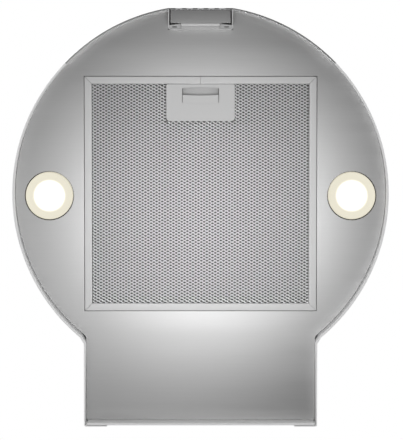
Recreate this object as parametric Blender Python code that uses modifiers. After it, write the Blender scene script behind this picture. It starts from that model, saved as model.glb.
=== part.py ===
"""Ceiling-hung cylinder range hood: a keyhole-shaped steel body with a square grease filter, two lamps,
a front control fascia, a centrifugal blower and a telescopic chimney. Metres, +Z up, front towards -Y."""

import math

import bmesh
import bpy
from mathutils import Euler, Matrix, Vector

# Clearances and sheet metal
TOUCH_GAP = 0.0003          # between pieces that rest on each other
SHEET = 0.001               # steel sheet of skins and panel
SLEEVE_GAP = 0.0008         # between the two telescoping skins
HEM_GAP = 0.0004            # inside a folded hem
HEM_HEIGHT = 0.008
HEM_TURN = 0.3              # share of the fold's width that each rounded side takes

# Keyhole outline of the body, seen from above
DRUM_RADIUS = 0.200
NECK_HALF_WIDTH = 0.1245
NECK_BACK = 0.249           # behind the drum axis
FOLD_RADIUS = 0.002         # outside of the back folds
NECK_FILLET = 0.003         # inside corner where the neck leaves the drum
RETURN_FLANGE = 0.0245      # folded in at the back corners
DRUM_ARC_STEPS = 28         # each side
FOLD_STEPS = 3

# Heights above the rim
LOWER_SKIN_HEIGHT = 0.420
SKIN_OVERLAP = 0.060        # of the upper skin inside the lower one
TOTAL_HEIGHT = 0.750
PANEL_RECESS = 0.034        # underside of the panel above the rim
PANEL_FLANGE = 0.016        # height of the panel's turned-up edges
HOOD_TRAVEL = 0.100         # how far the hood can be set higher on its posts
CEILING_PLATE_THICKNESS = 0.003

# Front controls
CONTROL_WIDTH = 0.0688
CONTROL_DEPTH = 0.0215
FASCIA_SETBACK = 0.0015     # behind the flat strip of the skin
CONTROL_HEIGHT = 0.054
CONTROL_WALL = 0.0012
CONTROL_LOW = 0.0004
FASCIA_SIDE_GAP = 0.00265   # from the housing's outer side to the fascia
FASCIA_HEIGHT = 0.039
FASCIA_UNDERSIDE = 0.0146   # depth of the part folded under
FASCIA_LIP_WIDTH = 0.041
FASCIA_LIP_DEPTH = 0.0042
FASCIA_LIP_RISE = 0.0062
FASCIA_BEND = 0.0012
BUTTON_COUNT = 5
BUTTON_PITCH = 0.0115
BUTTON_RADIUS = 0.0038
BUTTON_PROUD = 0.0014
BUTTON_LENGTH = 0.0082
BUTTON_HEIGHT = 0.022       # of the row of buttons above the rim
BUTTON_CLEARANCE = 0.0004
SWITCH_BOARD_MARGIN = 0.004
SWITCH_BOARD_HEIGHT = 0.028
SWITCH_BOARD_GAP = 0.004    # behind the resting buttons
BOARD_SHEET = 0.0016
REAR_CORNER = 0.003         # of the control housing
BUTTON_EDGE = 0.0006        # chamfer round the pressed face
PLUNGER_RADIUS = 0.0016     # thin rear end of a button
PLUNGER_HOLE_RADIUS = 0.0022
BUTTON_COLLAR = 0.0012      # of the thick part behind the fascia

# Grease filter
FILTER_WIDTH = 0.249
FILTER_LENGTH = 0.252
FILTER_CENTRE = 0.002       # behind the drum axis
FILTER_CLEARANCE = 0.0005
FILTER_BORDER = 0.008
FILTER_HEIGHT = 0.011
FILTER_DROP = 0.0004        # lower face below the panel's underside
MESH_LEVEL = 0.0012         # lower mesh above the frame's lower face
FRAME_CORNER = 0.002
MESH_SHEET = 0.0012
CORE_SHEET = 0.0040
HOOK_WIDTH = 0.018
HOOK_SPREAD = 0.080         # of each hook from the middle
HOOK_SHEET = 0.0012
HOOK_REACH = 0.005
LATCH_WIDTH = 0.0733
LATCH_LENGTH = 0.0395
LATCH_CORNER = 0.004
LATCH_WALL = 0.0015
PULL_WIDTH = 0.0393
PULL_LENGTH = 0.009
PULL_START = 0.003          # behind the latch plate's front edge
PULL_PAD_LENGTH = 0.0085
PULL_PAD_PROUD = 0.0007
LATCH_TRAVEL = 0.005
BOLT_WIDTH = 0.020
BOLT_SHEET = 0.0018
BOLT_LEVEL = 0.0066         # bolt's underside above the filter's lower face
BOLT_REACH = 0.003          # past the filter's front edge
SPRING_RADIUS = 0.0022
SPRING_WIRE = 0.0003
SPRING_TURNS = 5

# Lamps
LAMP_RADIUS = 0.0265        # hole in the panel
LAMP_SPREAD = 0.1624
LAMP_BEHIND = 0.004
LAMP_CLEARANCE = 0.0005
LAMP_INSET = 0.0006         # lens face above the panel's underside
LENS_WALL = 0.002
LENS_HEIGHT = 0.009
LENS_EDGE = 0.0006          # chamfer round the lens face
LAMP_HOUSING_HEIGHT = 0.032
LAMP_HOUSING_OVERLAP = 0.0022   # of its foot past the hole's edge
LAMP_HOUSING_WALL = 0.0012
LED_RADIUS = 0.0175
LED_HEIGHT = 0.004

# Telescopic frame
POST_FILTER_GAP = 0.004     # from the filter opening's kerb to a post
POST_SPREAD_Y = 0.085       # outer corner of a lower post from the drum axis
POST_LEG = 0.020
POST_SHEET = 0.0015
POST_GAP = 0.0005
POST_TOP_GAP = 0.027        # left under the ceiling plate with the hood at its highest
POST_OVERLAP = 0.140
BRACE_BAND = 0.006
BRACE_HEIGHT = 0.020
BRACE_CORNER = 0.004

# Blower
IMPELLER_RADIUS = 0.070
IMPELLER_BLADE_DEPTH = 0.012
IMPELLER_HALF_WIDTH = 0.057
IMPELLER_RING = 0.004
BLADE_COUNT = 20
BLADE_SHARE = 0.25          # of the pitch between blades that is metal
HUB_RADIUS = 0.012
HUB_LENGTH = 0.024
HUB_PROUD = 0.004           # hub past the wheel's disc on the motor side
DISC_HALF = 0.001           # half thickness of the wheel's disc
SHAFT_RADIUS = 0.004
BLOWER_HEIGHT = 0.190       # impeller axis above the rim
SCROLL_START_GAP = 0.006    # from the impeller to the spiral at the cut-off
SCROLL_GROWTH = 0.042       # of the spiral's radius from the cut-off to the outlet
CUTOFF_ANGLE = 60           # degrees from the rear, turning upwards
SCROLL_SIDE_GAP = 0.004     # beside the impeller
SCROLL_WALL = 0.0015
OUTLET_RISE = 0.130         # top of the outlet above the impeller axis
INLET_LIP = 0.002           # of the inlet inside the impeller's bore
MOTOR_RADIUS = 0.040
MOTOR_START = 0.006
MOTOR_LENGTH = 0.068
MOTOR_CHAMFER = 0.004
BRACKET_SHEET = 0.002
BRACKET_HUB = 0.007         # ring round the motor
BRACKET_RIM = 0.010         # ring round the inlet
BLOWER_PLATE_SHEET = 0.002
CAPACITOR_RADIUS = 0.0145
CAPACITOR_LENGTH = 0.056
CAPACITOR_FROM_POST = 0.035
DUCT_BEHIND = 0.008         # the drum axis
DUCT_RADIUS = 0.075
DUCT_WALL = 0.0015
DUCT_LENGTH = 0.070
DUCT_FLANGE = 0.004
DAMPER_LEVEL = 0.034        # damper pin above the collar's foot
DAMPER_CLEARANCE = 0.001
DAMPER_SHEET = 0.0012
DAMPER_EDGE = 0.0042        # straight edge from the pin's axis
PIN_RADIUS = 0.002
KNUCKLE_RADIUS = 0.0036
KNUCKLE_LENGTH = 0.010
KNUCKLE_TAB_SHARE = 0.9     # of the flap's thickness and of the knuckle's length
FRONT_KNUCKLE_SPREAD = 0.045
REAR_KNUCKLE_SPREAD = 0.025

# Electrics in the neck
BOX_WIDTH = 0.120
BOX_LENGTH = 0.072
BOX_HEIGHT = 0.050
BOX_WALL = 0.002
BOX_BEHIND = 0.190          # middle of the box behind the drum axis
LID_HEIGHT = 0.003
BOARD_MARGIN = 0.005
BOARD_LEVEL = 0.010
GLAND_RADIUS = 0.009
GLAND_BORE = 0.0045
GLAND_HEIGHT = 0.016
LEAD_RADIUS = 0.002
LEAD_LEVEL = 0.010          # of the lamp leads' ends above the panel
LEAD_LOW = 0.006            # of the lamp leads on their way above the panel
LEAD_STUB = 0.012           # straight end at the box
LAMP_LEAD_START = 0.003     # behind the lamp hole's edge

CEILING_HOLE_GAP = 0.005    # round the duct
CEILING_SCREW_RADIUS = 0.0035
CEILING_SCREW_SPREAD = (0.110, 0.070)

# Places worked out from the sizes above; the origin is the middle of the object's footprint
NOTCH_HALF_WIDTH = CONTROL_WIDTH / 2 + TOUCH_GAP
FRONT_FLAT = math.sqrt(DRUM_RADIUS ** 2 - NOTCH_HALF_WIDTH ** 2)    # flat strip above the controls
DRUM_Y = -(NECK_BACK - FRONT_FLAT) / 2
UPPER_SKIN_BOTTOM = LOWER_SKIN_HEIGHT - SKIN_OVERLAP
BACK_PLATE_INSET = SHEET + TOUCH_GAP
UPPER_INSET = SHEET + SLEEVE_GAP
UPPER_BACK_INSET = BACK_PLATE_INSET + SHEET + SLEEVE_GAP
UPPER_PLATE_INSET = UPPER_BACK_INSET + SHEET + TOUCH_GAP
INNER_INSET = UPPER_INSET + SHEET + SLEEVE_GAP
HEM_FOLD = SHEET + HEM_GAP
PANEL_INSET = SHEET + TOUCH_GAP
PANEL_BACK_INSET = BACK_PLATE_INSET + SHEET + TOUCH_GAP
PANEL_TOP = PANEL_RECESS + SHEET
NOTCH_HEIGHT = CONTROL_LOW + FASCIA_HEIGHT + SHEET
CONTROL_FRONT_Y = DRUM_Y - FRONT_FLAT + FASCIA_SETBACK
CONTROL_BACK_Y = CONTROL_FRONT_Y + CONTROL_DEPTH
FASCIA_WIDTH = CONTROL_WIDTH - 2 * FASCIA_SIDE_GAP
SWITCH_BOARD_WIDTH = CONTROL_WIDTH - 2 * CONTROL_WALL - 2 * SWITCH_BOARD_MARGIN
FILTER_Y = DRUM_Y + FILTER_CENTRE
FILTER_FRONT_Y = FILTER_Y - FILTER_LENGTH / 2
FILTER_BACK_Y = FILTER_Y + FILTER_LENGTH / 2
FILTER_LOW = PANEL_RECESS - FILTER_DROP
LATCH_FRONT_Y = FILTER_FRONT_Y + FILTER_BORDER + TOUCH_GAP
KERB_HALF_WIDTH = FILTER_WIDTH / 2 + FILTER_CLEARANCE + SHEET
POST_SPREAD_X = KERB_HALF_WIDTH + POST_FILTER_GAP + POST_LEG
CEILING_PLATE_LOW = TOTAL_HEIGHT - CEILING_PLATE_THICKNESS
LOWER_POST_TOP = CEILING_PLATE_LOW - HOOD_TRAVEL - POST_TOP_GAP
UPPER_POST_BOTTOM = LOWER_POST_TOP - POST_OVERLAP
IMPELLER_BORE = IMPELLER_RADIUS - IMPELLER_BLADE_DEPTH
INLET_RADIUS = IMPELLER_BORE - INLET_LIP
SCROLL_START = IMPELLER_RADIUS + SCROLL_START_GAP
SCROLL_END = SCROLL_START + SCROLL_GROWTH
SCROLL_HALF_WIDTH = IMPELLER_HALF_WIDTH + SCROLL_SIDE_GAP + SCROLL_WALL
BLOWER_PLATE_LOW = BLOWER_HEIGHT + OUTLET_RISE + TOUCH_GAP
COLLAR_LOW = BLOWER_PLATE_LOW + BLOWER_PLATE_SHEET + TOUCH_GAP
OUTLET_INSIDE = SCROLL_START * math.cos(math.radians(CUTOFF_ANGLE))
DUCT_Y = DRUM_Y + DUCT_BEHIND
BLOWER_Y = DUCT_Y - (OUTLET_INSIDE + SCROLL_END) / 2
BOX_Y = DRUM_Y + BOX_BEHIND
BOX_TOP = PANEL_TOP + TOUCH_GAP + BOX_HEIGHT

FRONT_PLANE = (math.radians(90), 0, 0)                  # outline x, y becomes X, Z
SIDE_PLANE = (math.radians(90), 0, math.radians(90))    # outline x, y becomes Y, Z
ALONG_X = (0, math.radians(90), 0)
ALONG_Y = (math.radians(-90), 0, 0)


# ---------------------------------------------------------------- scene, materials and small tools

def clear_scene():
    for thing in list(bpy.data.objects):
        bpy.data.objects.remove(thing, do_unlink=True)


def new_collection(name):
    group = bpy.data.collections.new(name)
    bpy.context.scene.collection.children.link(group)
    return group


def finish(name, colour, roughness, metallic):
    made = bpy.data.materials.new(name)
    made.use_nodes = True
    shader = made.node_tree.nodes["Principled BSDF"]
    shader.inputs["Base Color"].default_value = (*colour, 1)
    shader.inputs["Roughness"].default_value = roughness
    shader.inputs["Metallic"].default_value = metallic
    made.diffuse_color = (*colour, 1)
    return made


def add_object(name, mesh, material, group=None):
    thing = bpy.data.objects.new(name, mesh)
    if material:
        mesh.materials.append(material)
    (group or PARTS).objects.link(thing)
    return thing


def from_bmesh(name, shape, material, group=None):
    mesh = bpy.data.meshes.new(name)
    shape.to_mesh(mesh)
    shape.free()
    return add_object(name, mesh, material, group)


def smooth(thing, angle=35):
    thing.data.shade_smooth()
    thing.data.set_sharp_from_angle(angle=math.radians(angle))
    return thing


def box(name, low, high, material, group=None, bevel=0):
    """A box between two corners, its origin at its middle."""
    low, high = Vector(low), Vector(high)
    shape = bmesh.new()
    bmesh.ops.create_cube(shape, size=1)
    bmesh.ops.scale(shape, vec=high - low, verts=shape.verts)
    thing = from_bmesh(name, shape, material, group)
    thing.location = (low + high) / 2
    if bevel:
        edge = thing.modifiers.new("rounded edges", "BEVEL")
        edge.width = bevel
        edge.segments = 1
    return thing


def cylinder(name, radius, low, high, middle, material, turn=(0, 0, 0), sides=24, group=None):
    """A cylinder from low to high along its own axis, which turn lays along X or Y."""
    shape = bmesh.new()
    bmesh.ops.create_cone(shape, cap_ends=True, segments=sides, radius1=radius, radius2=radius,
                          depth=high - low)
    bmesh.ops.translate(shape, vec=(0, 0, (low + high) / 2), verts=shape.verts)
    thing = from_bmesh(name, shape, material, group)
    thing.rotation_euler = turn
    thing.location = middle
    return smooth(thing)


def turned(name, profile, place, material, turn=(0, 0, 0), steps=32, closed=False, group=None):
    """A lathe shape. The profile of (radius, height) points runs down its outer side."""
    shape = bmesh.new()
    points = [shape.verts.new((radius, 0, height)) for radius, height in profile]
    for start, end in zip(points, points[1:] + points[:1] * closed):
        shape.edges.new((start, end))
    thing = from_bmesh(name, shape, material, group)
    lathe = thing.modifiers.new("turned", "SCREW")
    lathe.angle = math.tau
    lathe.steps = lathe.render_steps = steps
    lathe.use_merge_vertices = True
    lathe.merge_threshold = 0.00005
    lathe.use_smooth_shade = False
    thing.rotation_euler = turn
    thing.location = place
    return thing


def to_mesh(curve_object, group=None):
    """Replaces a curve object by its mesh, with the caps welded on."""
    bpy.context.view_layer.update()
    seen = curve_object.evaluated_get(bpy.context.evaluated_depsgraph_get())
    mesh = bpy.data.meshes.new_from_object(seen)
    shape = bmesh.new()
    shape.from_mesh(mesh)
    bmesh.ops.remove_doubles(shape, verts=shape.verts, dist=0.00001)
    bmesh.ops.recalc_face_normals(shape, faces=shape.faces)
    shape.to_mesh(mesh)
    shape.free()
    name, place = curve_object.name, curve_object.matrix_world.copy()
    bpy.data.objects.remove(curve_object, do_unlink=True)
    thing = bpy.data.objects.new(name, mesh)
    thing.matrix_world = place
    (group or PARTS).objects.link(thing)
    return thing


def flat(name, loops, low, high, material, turn=(0, 0, 0), place=(0, 0, 0), group=None):
    """A flat outline, with its holes as further loops, between two levels along its own normal."""
    outline = bpy.data.curves.new(name, "CURVE")
    outline.dimensions = "2D"
    outline.fill_mode = "BOTH"
    outline.extrude = (high - low) / 2
    for loop in loops:
        line = outline.splines.new("POLY")
        line.points.add(len(loop) - 1)
        for point, (across, along) in zip(line.points, loop):
            point.co = (across, along, 0, 1)
        line.use_cyclic_u = True
    if material:
        outline.materials.append(material)
    thing = bpy.data.objects.new(name, outline)
    (group or PARTS).objects.link(thing)
    spin = Euler(turn).to_matrix()
    thing.rotation_euler = turn
    thing.location = Vector(place) + spin @ Vector((0, 0, (low + high) / 2))
    return to_mesh(thing, group)


def sheet(name, rows, material, keep=None, thickness=SHEET):
    """Bent sheet metal: a line of points drawn out row by row, then thickened about its middle surface.

    keep(level, column) is False for a patch of the sheet that is cut away."""
    shape = bmesh.new()
    line = [shape.verts.new(point) for point in rows[0]]
    edges = [shape.edges.new(pair) for pair in zip(line, line[1:])]
    gone = []
    for level, row in enumerate(rows[1:]):
        drawn = bmesh.ops.extrude_edge_only(shape, edges=edges)["geom"]
        fresh = {item for item in drawn if isinstance(item, bmesh.types.BMVert)}
        line = [next(edge.other_vert(vert) for edge in vert.link_edges if edge.other_vert(vert) in fresh)
                for vert in line]
        for vert, point in zip(line, row):
            vert.co = point
        edges = [shape.edges.get(pair) for pair in zip(line, line[1:])]
        gone += [edge.link_faces[0] for column, edge in enumerate(edges)
                 if keep and not keep(level, column)]
    bmesh.ops.delete(shape, geom=gone, context="FACES")
    bmesh.ops.recalc_face_normals(shape, faces=shape.faces)
    thing = from_bmesh(name, shape, material)
    wall = thing.modifiers.new("sheet thickness", "SOLIDIFY")
    wall.thickness = thickness
    wall.offset = 0
    wall.use_even_offset = True
    return thing


def wire(name, points, radius, material, sides_resolution=2, group=None):
    """A round wire or lead through the points."""
    route = bpy.data.curves.new(name, "CURVE")
    route.dimensions = "3D"
    route.bevel_depth = radius
    route.bevel_resolution = sides_resolution
    route.use_fill_caps = True
    line = route.splines.new("POLY")
    line.points.add(len(points) - 1)
    for point, place in zip(line.points, points):
        point.co = (*place, 1)
    route.materials.append(material)
    thing = bpy.data.objects.new(name, route)
    (group or PARTS).objects.link(thing)
    return thing


def boolean(thing, other, operation="DIFFERENCE"):
    step = thing.modifiers.new(f"{operation.lower()} {other.name}", "BOOLEAN")
    step.operation = operation
    step.object = other
    other.hide_render = True
    other.display_type = "WIRE"


def set_origin(thing, point):
    """Moves an object's origin to a point of its joint axis and leaves its shape where it is."""
    bpy.context.view_layer.update()
    point = Vector(point)
    local = thing.matrix_world.inverted() @ point
    thing.data.transform(Matrix.Translation(-local))
    thing.location = point


def hang_on(name, point, things):
    """Parents the things to an empty on their joint axis."""
    pivot = bpy.data.objects.new(name, None)
    pivot.location = point
    PARTS.objects.link(pivot)
    bpy.context.view_layer.update()
    for thing in things:
        thing.parent = pivot
        thing.matrix_parent_inverse = pivot.matrix_world.inverted()


# ---------------------------------------------------------------- outlines

def arc(across, along, radius, start, end, steps):
    """Points of an arc in degrees, both ends included."""
    turns = [math.radians(start + (end - start) * step / steps) for step in range(steps + 1)]
    return [(across + radius * math.cos(turn), along + radius * math.sin(turn)) for turn in turns]


def circle(across, along, radius, steps):
    return arc(across, along, radius, 0, 360, steps)[:-1]


def rectangle(left, right, front, back, corner=0):
    """A rectangle with rounded corners, counter-clockwise."""
    if not corner:
        return [(left, front), (right, front), (right, back), (left, back)]
    return (arc(right - corner, front + corner, corner, -90, 0, 3)
            + arc(right - corner, back - corner, corner, 0, 90, 3)
            + arc(left + corner, back - corner, corner, 90, 180, 3)
            + arc(left + corner, front + corner, corner, 180, 270, 3))


def mirrored(points):
    return [(-across, along) for across, along in reversed(points)]


def right_half(inset, back_inset, start_x):
    """The right half of the inset keyhole outline, from the drum's front at start_x to the back corner."""
    drum, neck = DRUM_RADIUS - inset, NECK_HALF_WIDTH - inset
    fillet, fold = NECK_FILLET + inset, max(FOLD_RADIUS - inset, 0.0002)
    fillet_x = neck + fillet
    fillet_y = math.sqrt((drum + fillet) ** 2 - fillet_x ** 2)
    starts = math.degrees(math.asin(start_x / drum)) - 90
    leaves = math.degrees(math.atan2(fillet_y, fillet_x))
    back = DRUM_Y + NECK_BACK - back_inset
    return (arc(0, DRUM_Y, drum, starts, leaves, DRUM_ARC_STEPS)
            + arc(fillet_x, DRUM_Y + fillet_y, fillet, leaves + 180, 180, 3)[1:]
            + arc(neck - fold, back - fold, fold, 0, 90, FOLD_STEPS))


def wrap(inset, back_inset, flange):
    """The open line of a wrapped skin: from one return flange round the front to the other."""
    half = right_half(inset, back_inset, NOTCH_HALF_WIDTH)
    half.append((NECK_HALF_WIDTH - flange, half[-1][1]))
    return mirrored(half) + half


def closed_keyhole(inset, back_inset):
    half = right_half(inset, back_inset, NOTCH_HALF_WIDTH)
    return mirrored(half) + half


def panel_outline(inset, back_inset):
    """The keyhole with a front notch round the control housing."""
    side = NOTCH_HALF_WIDTH + inset - PANEL_INSET
    notch_back = CONTROL_BACK_Y + TOUCH_GAP + inset - PANEL_INSET
    half = [(side, notch_back)] + right_half(inset, back_inset, side)
    return mirrored(half) + half


def at_level(points, level):
    return [(across, along, level) for across, along in points]


# ---------------------------------------------------------------- skins and panel

def make_skins():
    middle = SHEET / 2
    folded = HEM_FOLD + SHEET / 2
    bend = HEM_FOLD / 2
    skin_line = lambda inset: wrap(inset, inset, RETURN_FLANGE)
    columns = len(skin_line(middle)) - 1
    flange_columns = FOLD_STEPS + 1
    notch_column = columns // 2

    def keep(level, column):
        """False in the front notch, and for the hem along the two return flanges."""
        on_flange = column < flange_columns or column >= columns - flange_columns
        return level == 0 or not (column == notch_column or on_flange and level > 1)

    lower = sheet("lower_skin", [
        at_level(skin_line(middle), LOWER_SKIN_HEIGHT),
        at_level(skin_line(middle), NOTCH_HEIGHT),
        at_level(skin_line(middle), bend + middle),
        at_level(skin_line(middle + HEM_FOLD * HEM_TURN), middle),
        at_level(skin_line(folded - HEM_FOLD * HEM_TURN), middle),
        at_level(skin_line(folded), bend + middle),
        at_level(skin_line(folded), HEM_HEIGHT),
    ], STEEL, keep)
    smooth(lower)

    back_y = DRUM_Y + NECK_BACK - BACK_PLATE_INSET - middle
    half_width = NECK_HALF_WIDTH - SHEET - HEM_FOLD - TOUCH_GAP * 2
    plate_line = lambda inset, level: [(x, back_y - inset, level) for x in (-half_width, half_width)]
    smooth(sheet("lower_back_plate", [
        plate_line(0, LOWER_SKIN_HEIGHT),
        plate_line(0, bend + middle),
        plate_line(HEM_FOLD * HEM_TURN, middle),
        plate_line(HEM_FOLD * (1 - HEM_TURN), middle),
        plate_line(HEM_FOLD, bend + middle),
        plate_line(HEM_FOLD, HEM_HEIGHT),
    ], STEEL))

    upper_line = wrap(UPPER_INSET + middle, UPPER_BACK_INSET + middle, RETURN_FLANGE)
    top = TOTAL_HEIGHT - SHEET
    smooth(sheet("upper_skin", [at_level(upper_line, top), at_level(upper_line, UPPER_SKIN_BOTTOM)], STEEL))
    upper_y = DRUM_Y + NECK_BACK - UPPER_PLATE_INSET
    upper_half = NECK_HALF_WIDTH - UPPER_INSET - SHEET - TOUCH_GAP * 2
    box("upper_back_plate", (-upper_half, upper_y - SHEET, UPPER_SKIN_BOTTOM), (upper_half, upper_y, top),
        STEEL)


def make_panel():
    top = PANEL_RECESS + PANEL_FLANGE
    panel = flat("bottom_panel", [panel_outline(PANEL_INSET, PANEL_BACK_INSET)], PANEL_RECESS, top, STEEL)
    half_width = FILTER_WIDTH / 2 + FILTER_CLEARANCE
    front, back = FILTER_FRONT_Y - FILTER_CLEARANCE, FILTER_BACK_Y + FILTER_CLEARANCE
    inside = panel_outline(PANEL_INSET + SHEET, PANEL_BACK_INSET + SHEET)
    kerb = rectangle(-KERB_HALF_WIDTH, KERB_HALF_WIDTH, front - SHEET, back + SHEET)
    boolean(panel, flat("panel_tray_cutter", [inside, kerb], PANEL_TOP, top + SHEET, None, group=CUTTERS))
    boolean(panel, box("filter_opening_cutter", (-half_width, front, 0), (half_width, back, top * 2),
                       None, CUTTERS))
    for side, way in (("left", -1), ("right", 1)):
        middle = (way * LAMP_SPREAD, DRUM_Y + LAMP_BEHIND, 0)
        boolean(panel, cylinder(f"lamp_hole_cutter_{side}", LAMP_RADIUS, PANEL_RECESS - SHEET,
                                PANEL_TOP + SHEET, middle, None, sides=40, group=CUTTERS))
        hook = way * HOOK_SPREAD
        slot = HOOK_WIDTH / 2 + 2 * FILTER_CLEARANCE
        boolean(panel, box(f"hook_slot_cutter_{side}",
                           (hook - slot, back - SHEET, PANEL_TOP + FILTER_HEIGHT / 3),
                           (hook + slot, back + 2 * SHEET, top - SHEET), None, CUTTERS))
    bolt_low = FILTER_LOW + BOLT_LEVEL - FILTER_CLEARANCE
    bolt_high = FILTER_LOW + BOLT_LEVEL + BOLT_SHEET + FILTER_CLEARANCE
    slot = BOLT_WIDTH / 2 + FILTER_CLEARANCE
    boolean(panel, box("bolt_slot_cutter", (-slot, front - 2 * SHEET, bolt_low),
                       (slot, front + SHEET, bolt_high), None, CUTTERS))
    return panel


# ---------------------------------------------------------------- controls

def make_controls():
    half = CONTROL_WIDTH / 2
    outer = [(-half, CONTROL_FRONT_Y), (half, CONTROL_FRONT_Y)]
    outer += arc(half - REAR_CORNER, CONTROL_BACK_Y - REAR_CORNER, REAR_CORNER, 0, 90, 3)
    outer += arc(-half + REAR_CORNER, CONTROL_BACK_Y - REAR_CORNER, REAR_CORNER, 90, 180, 3)
    housing = flat("control_housing", [outer], CONTROL_LOW, CONTROL_HEIGHT, DARK_PLASTIC)
    inner = half - CONTROL_WALL
    boolean(housing, box("control_housing_cutter", (-inner, CONTROL_FRONT_Y - SHEET, -SHEET),
                         (inner, CONTROL_BACK_Y - CONTROL_WALL, CONTROL_HEIGHT - CONTROL_WALL),
                         None, CUTTERS))

    middle = SHEET / 2
    front = CONTROL_FRONT_Y + middle
    low = CONTROL_LOW + middle
    bend = FASCIA_BEND - middle
    fold_y = CONTROL_FRONT_Y + FASCIA_UNDERSIDE
    profile = [(front, low + FASCIA_HEIGHT - SHEET)]
    profile += arc(front + bend, low + bend, bend, 180, 270, 3)
    profile += [(fold_y, low), (fold_y + middle, low + middle / 2)]
    profile += [(fold_y + FASCIA_LIP_DEPTH, low + FASCIA_LIP_RISE)]
    columns = (-FASCIA_WIDTH / 2, -FASCIA_LIP_WIDTH / 2, FASCIA_LIP_WIDTH / 2, FASCIA_WIDTH / 2)
    rows = [[(across, along, level) for across in columns] for along, level in profile]
    lip_level = len(rows) - 2
    fascia = sheet("control_fascia", rows, STEEL, lambda level, column: level < lip_level or column == 1)

    board_y = CONTROL_FRONT_Y + BUTTON_LENGTH - BUTTON_PROUD + SWITCH_BOARD_GAP
    board_x, board_z = SWITCH_BOARD_WIDTH / 2, SWITCH_BOARD_HEIGHT / 2
    board = box("switch_board", (-board_x, board_y, BUTTON_HEIGHT - board_z),
                (board_x, board_y + BOARD_SHEET, BUTTON_HEIGHT + board_z), BOARD_GREEN)
    for index in range(BUTTON_COUNT):
        across = (index - (BUTTON_COUNT - 1) / 2) * BUTTON_PITCH
        place = (across, CONTROL_FRONT_Y, BUTTON_HEIGHT)
        boolean(fascia, cylinder(f"button_hole_cutter_{index + 1}", BUTTON_RADIUS + BUTTON_CLEARANCE,
                                 -2 * SHEET, 3 * SHEET, place, None, ALONG_Y, 16, CUTTERS))
        rear = BUTTON_LENGTH - BUTTON_PROUD
        turned(f"button_{index + 1}", [
            (0, rear), (PLUNGER_RADIUS, rear), (PLUNGER_RADIUS, SHEET + BUTTON_COLLAR),
            (BUTTON_RADIUS, SHEET + BUTTON_COLLAR), (BUTTON_RADIUS, BUTTON_EDGE - BUTTON_PROUD),
            (BUTTON_RADIUS - BUTTON_EDGE, -BUTTON_PROUD), (0, -BUTTON_PROUD)], place, CHROME, ALONG_Y, 16)
        boolean(board, cylinder(f"switch_cutter_{index + 1}", PLUNGER_HOLE_RADIUS, rear, CONTROL_DEPTH,
                                place, None, ALONG_Y, 12, CUTTERS))


# ---------------------------------------------------------------- filter

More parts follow.
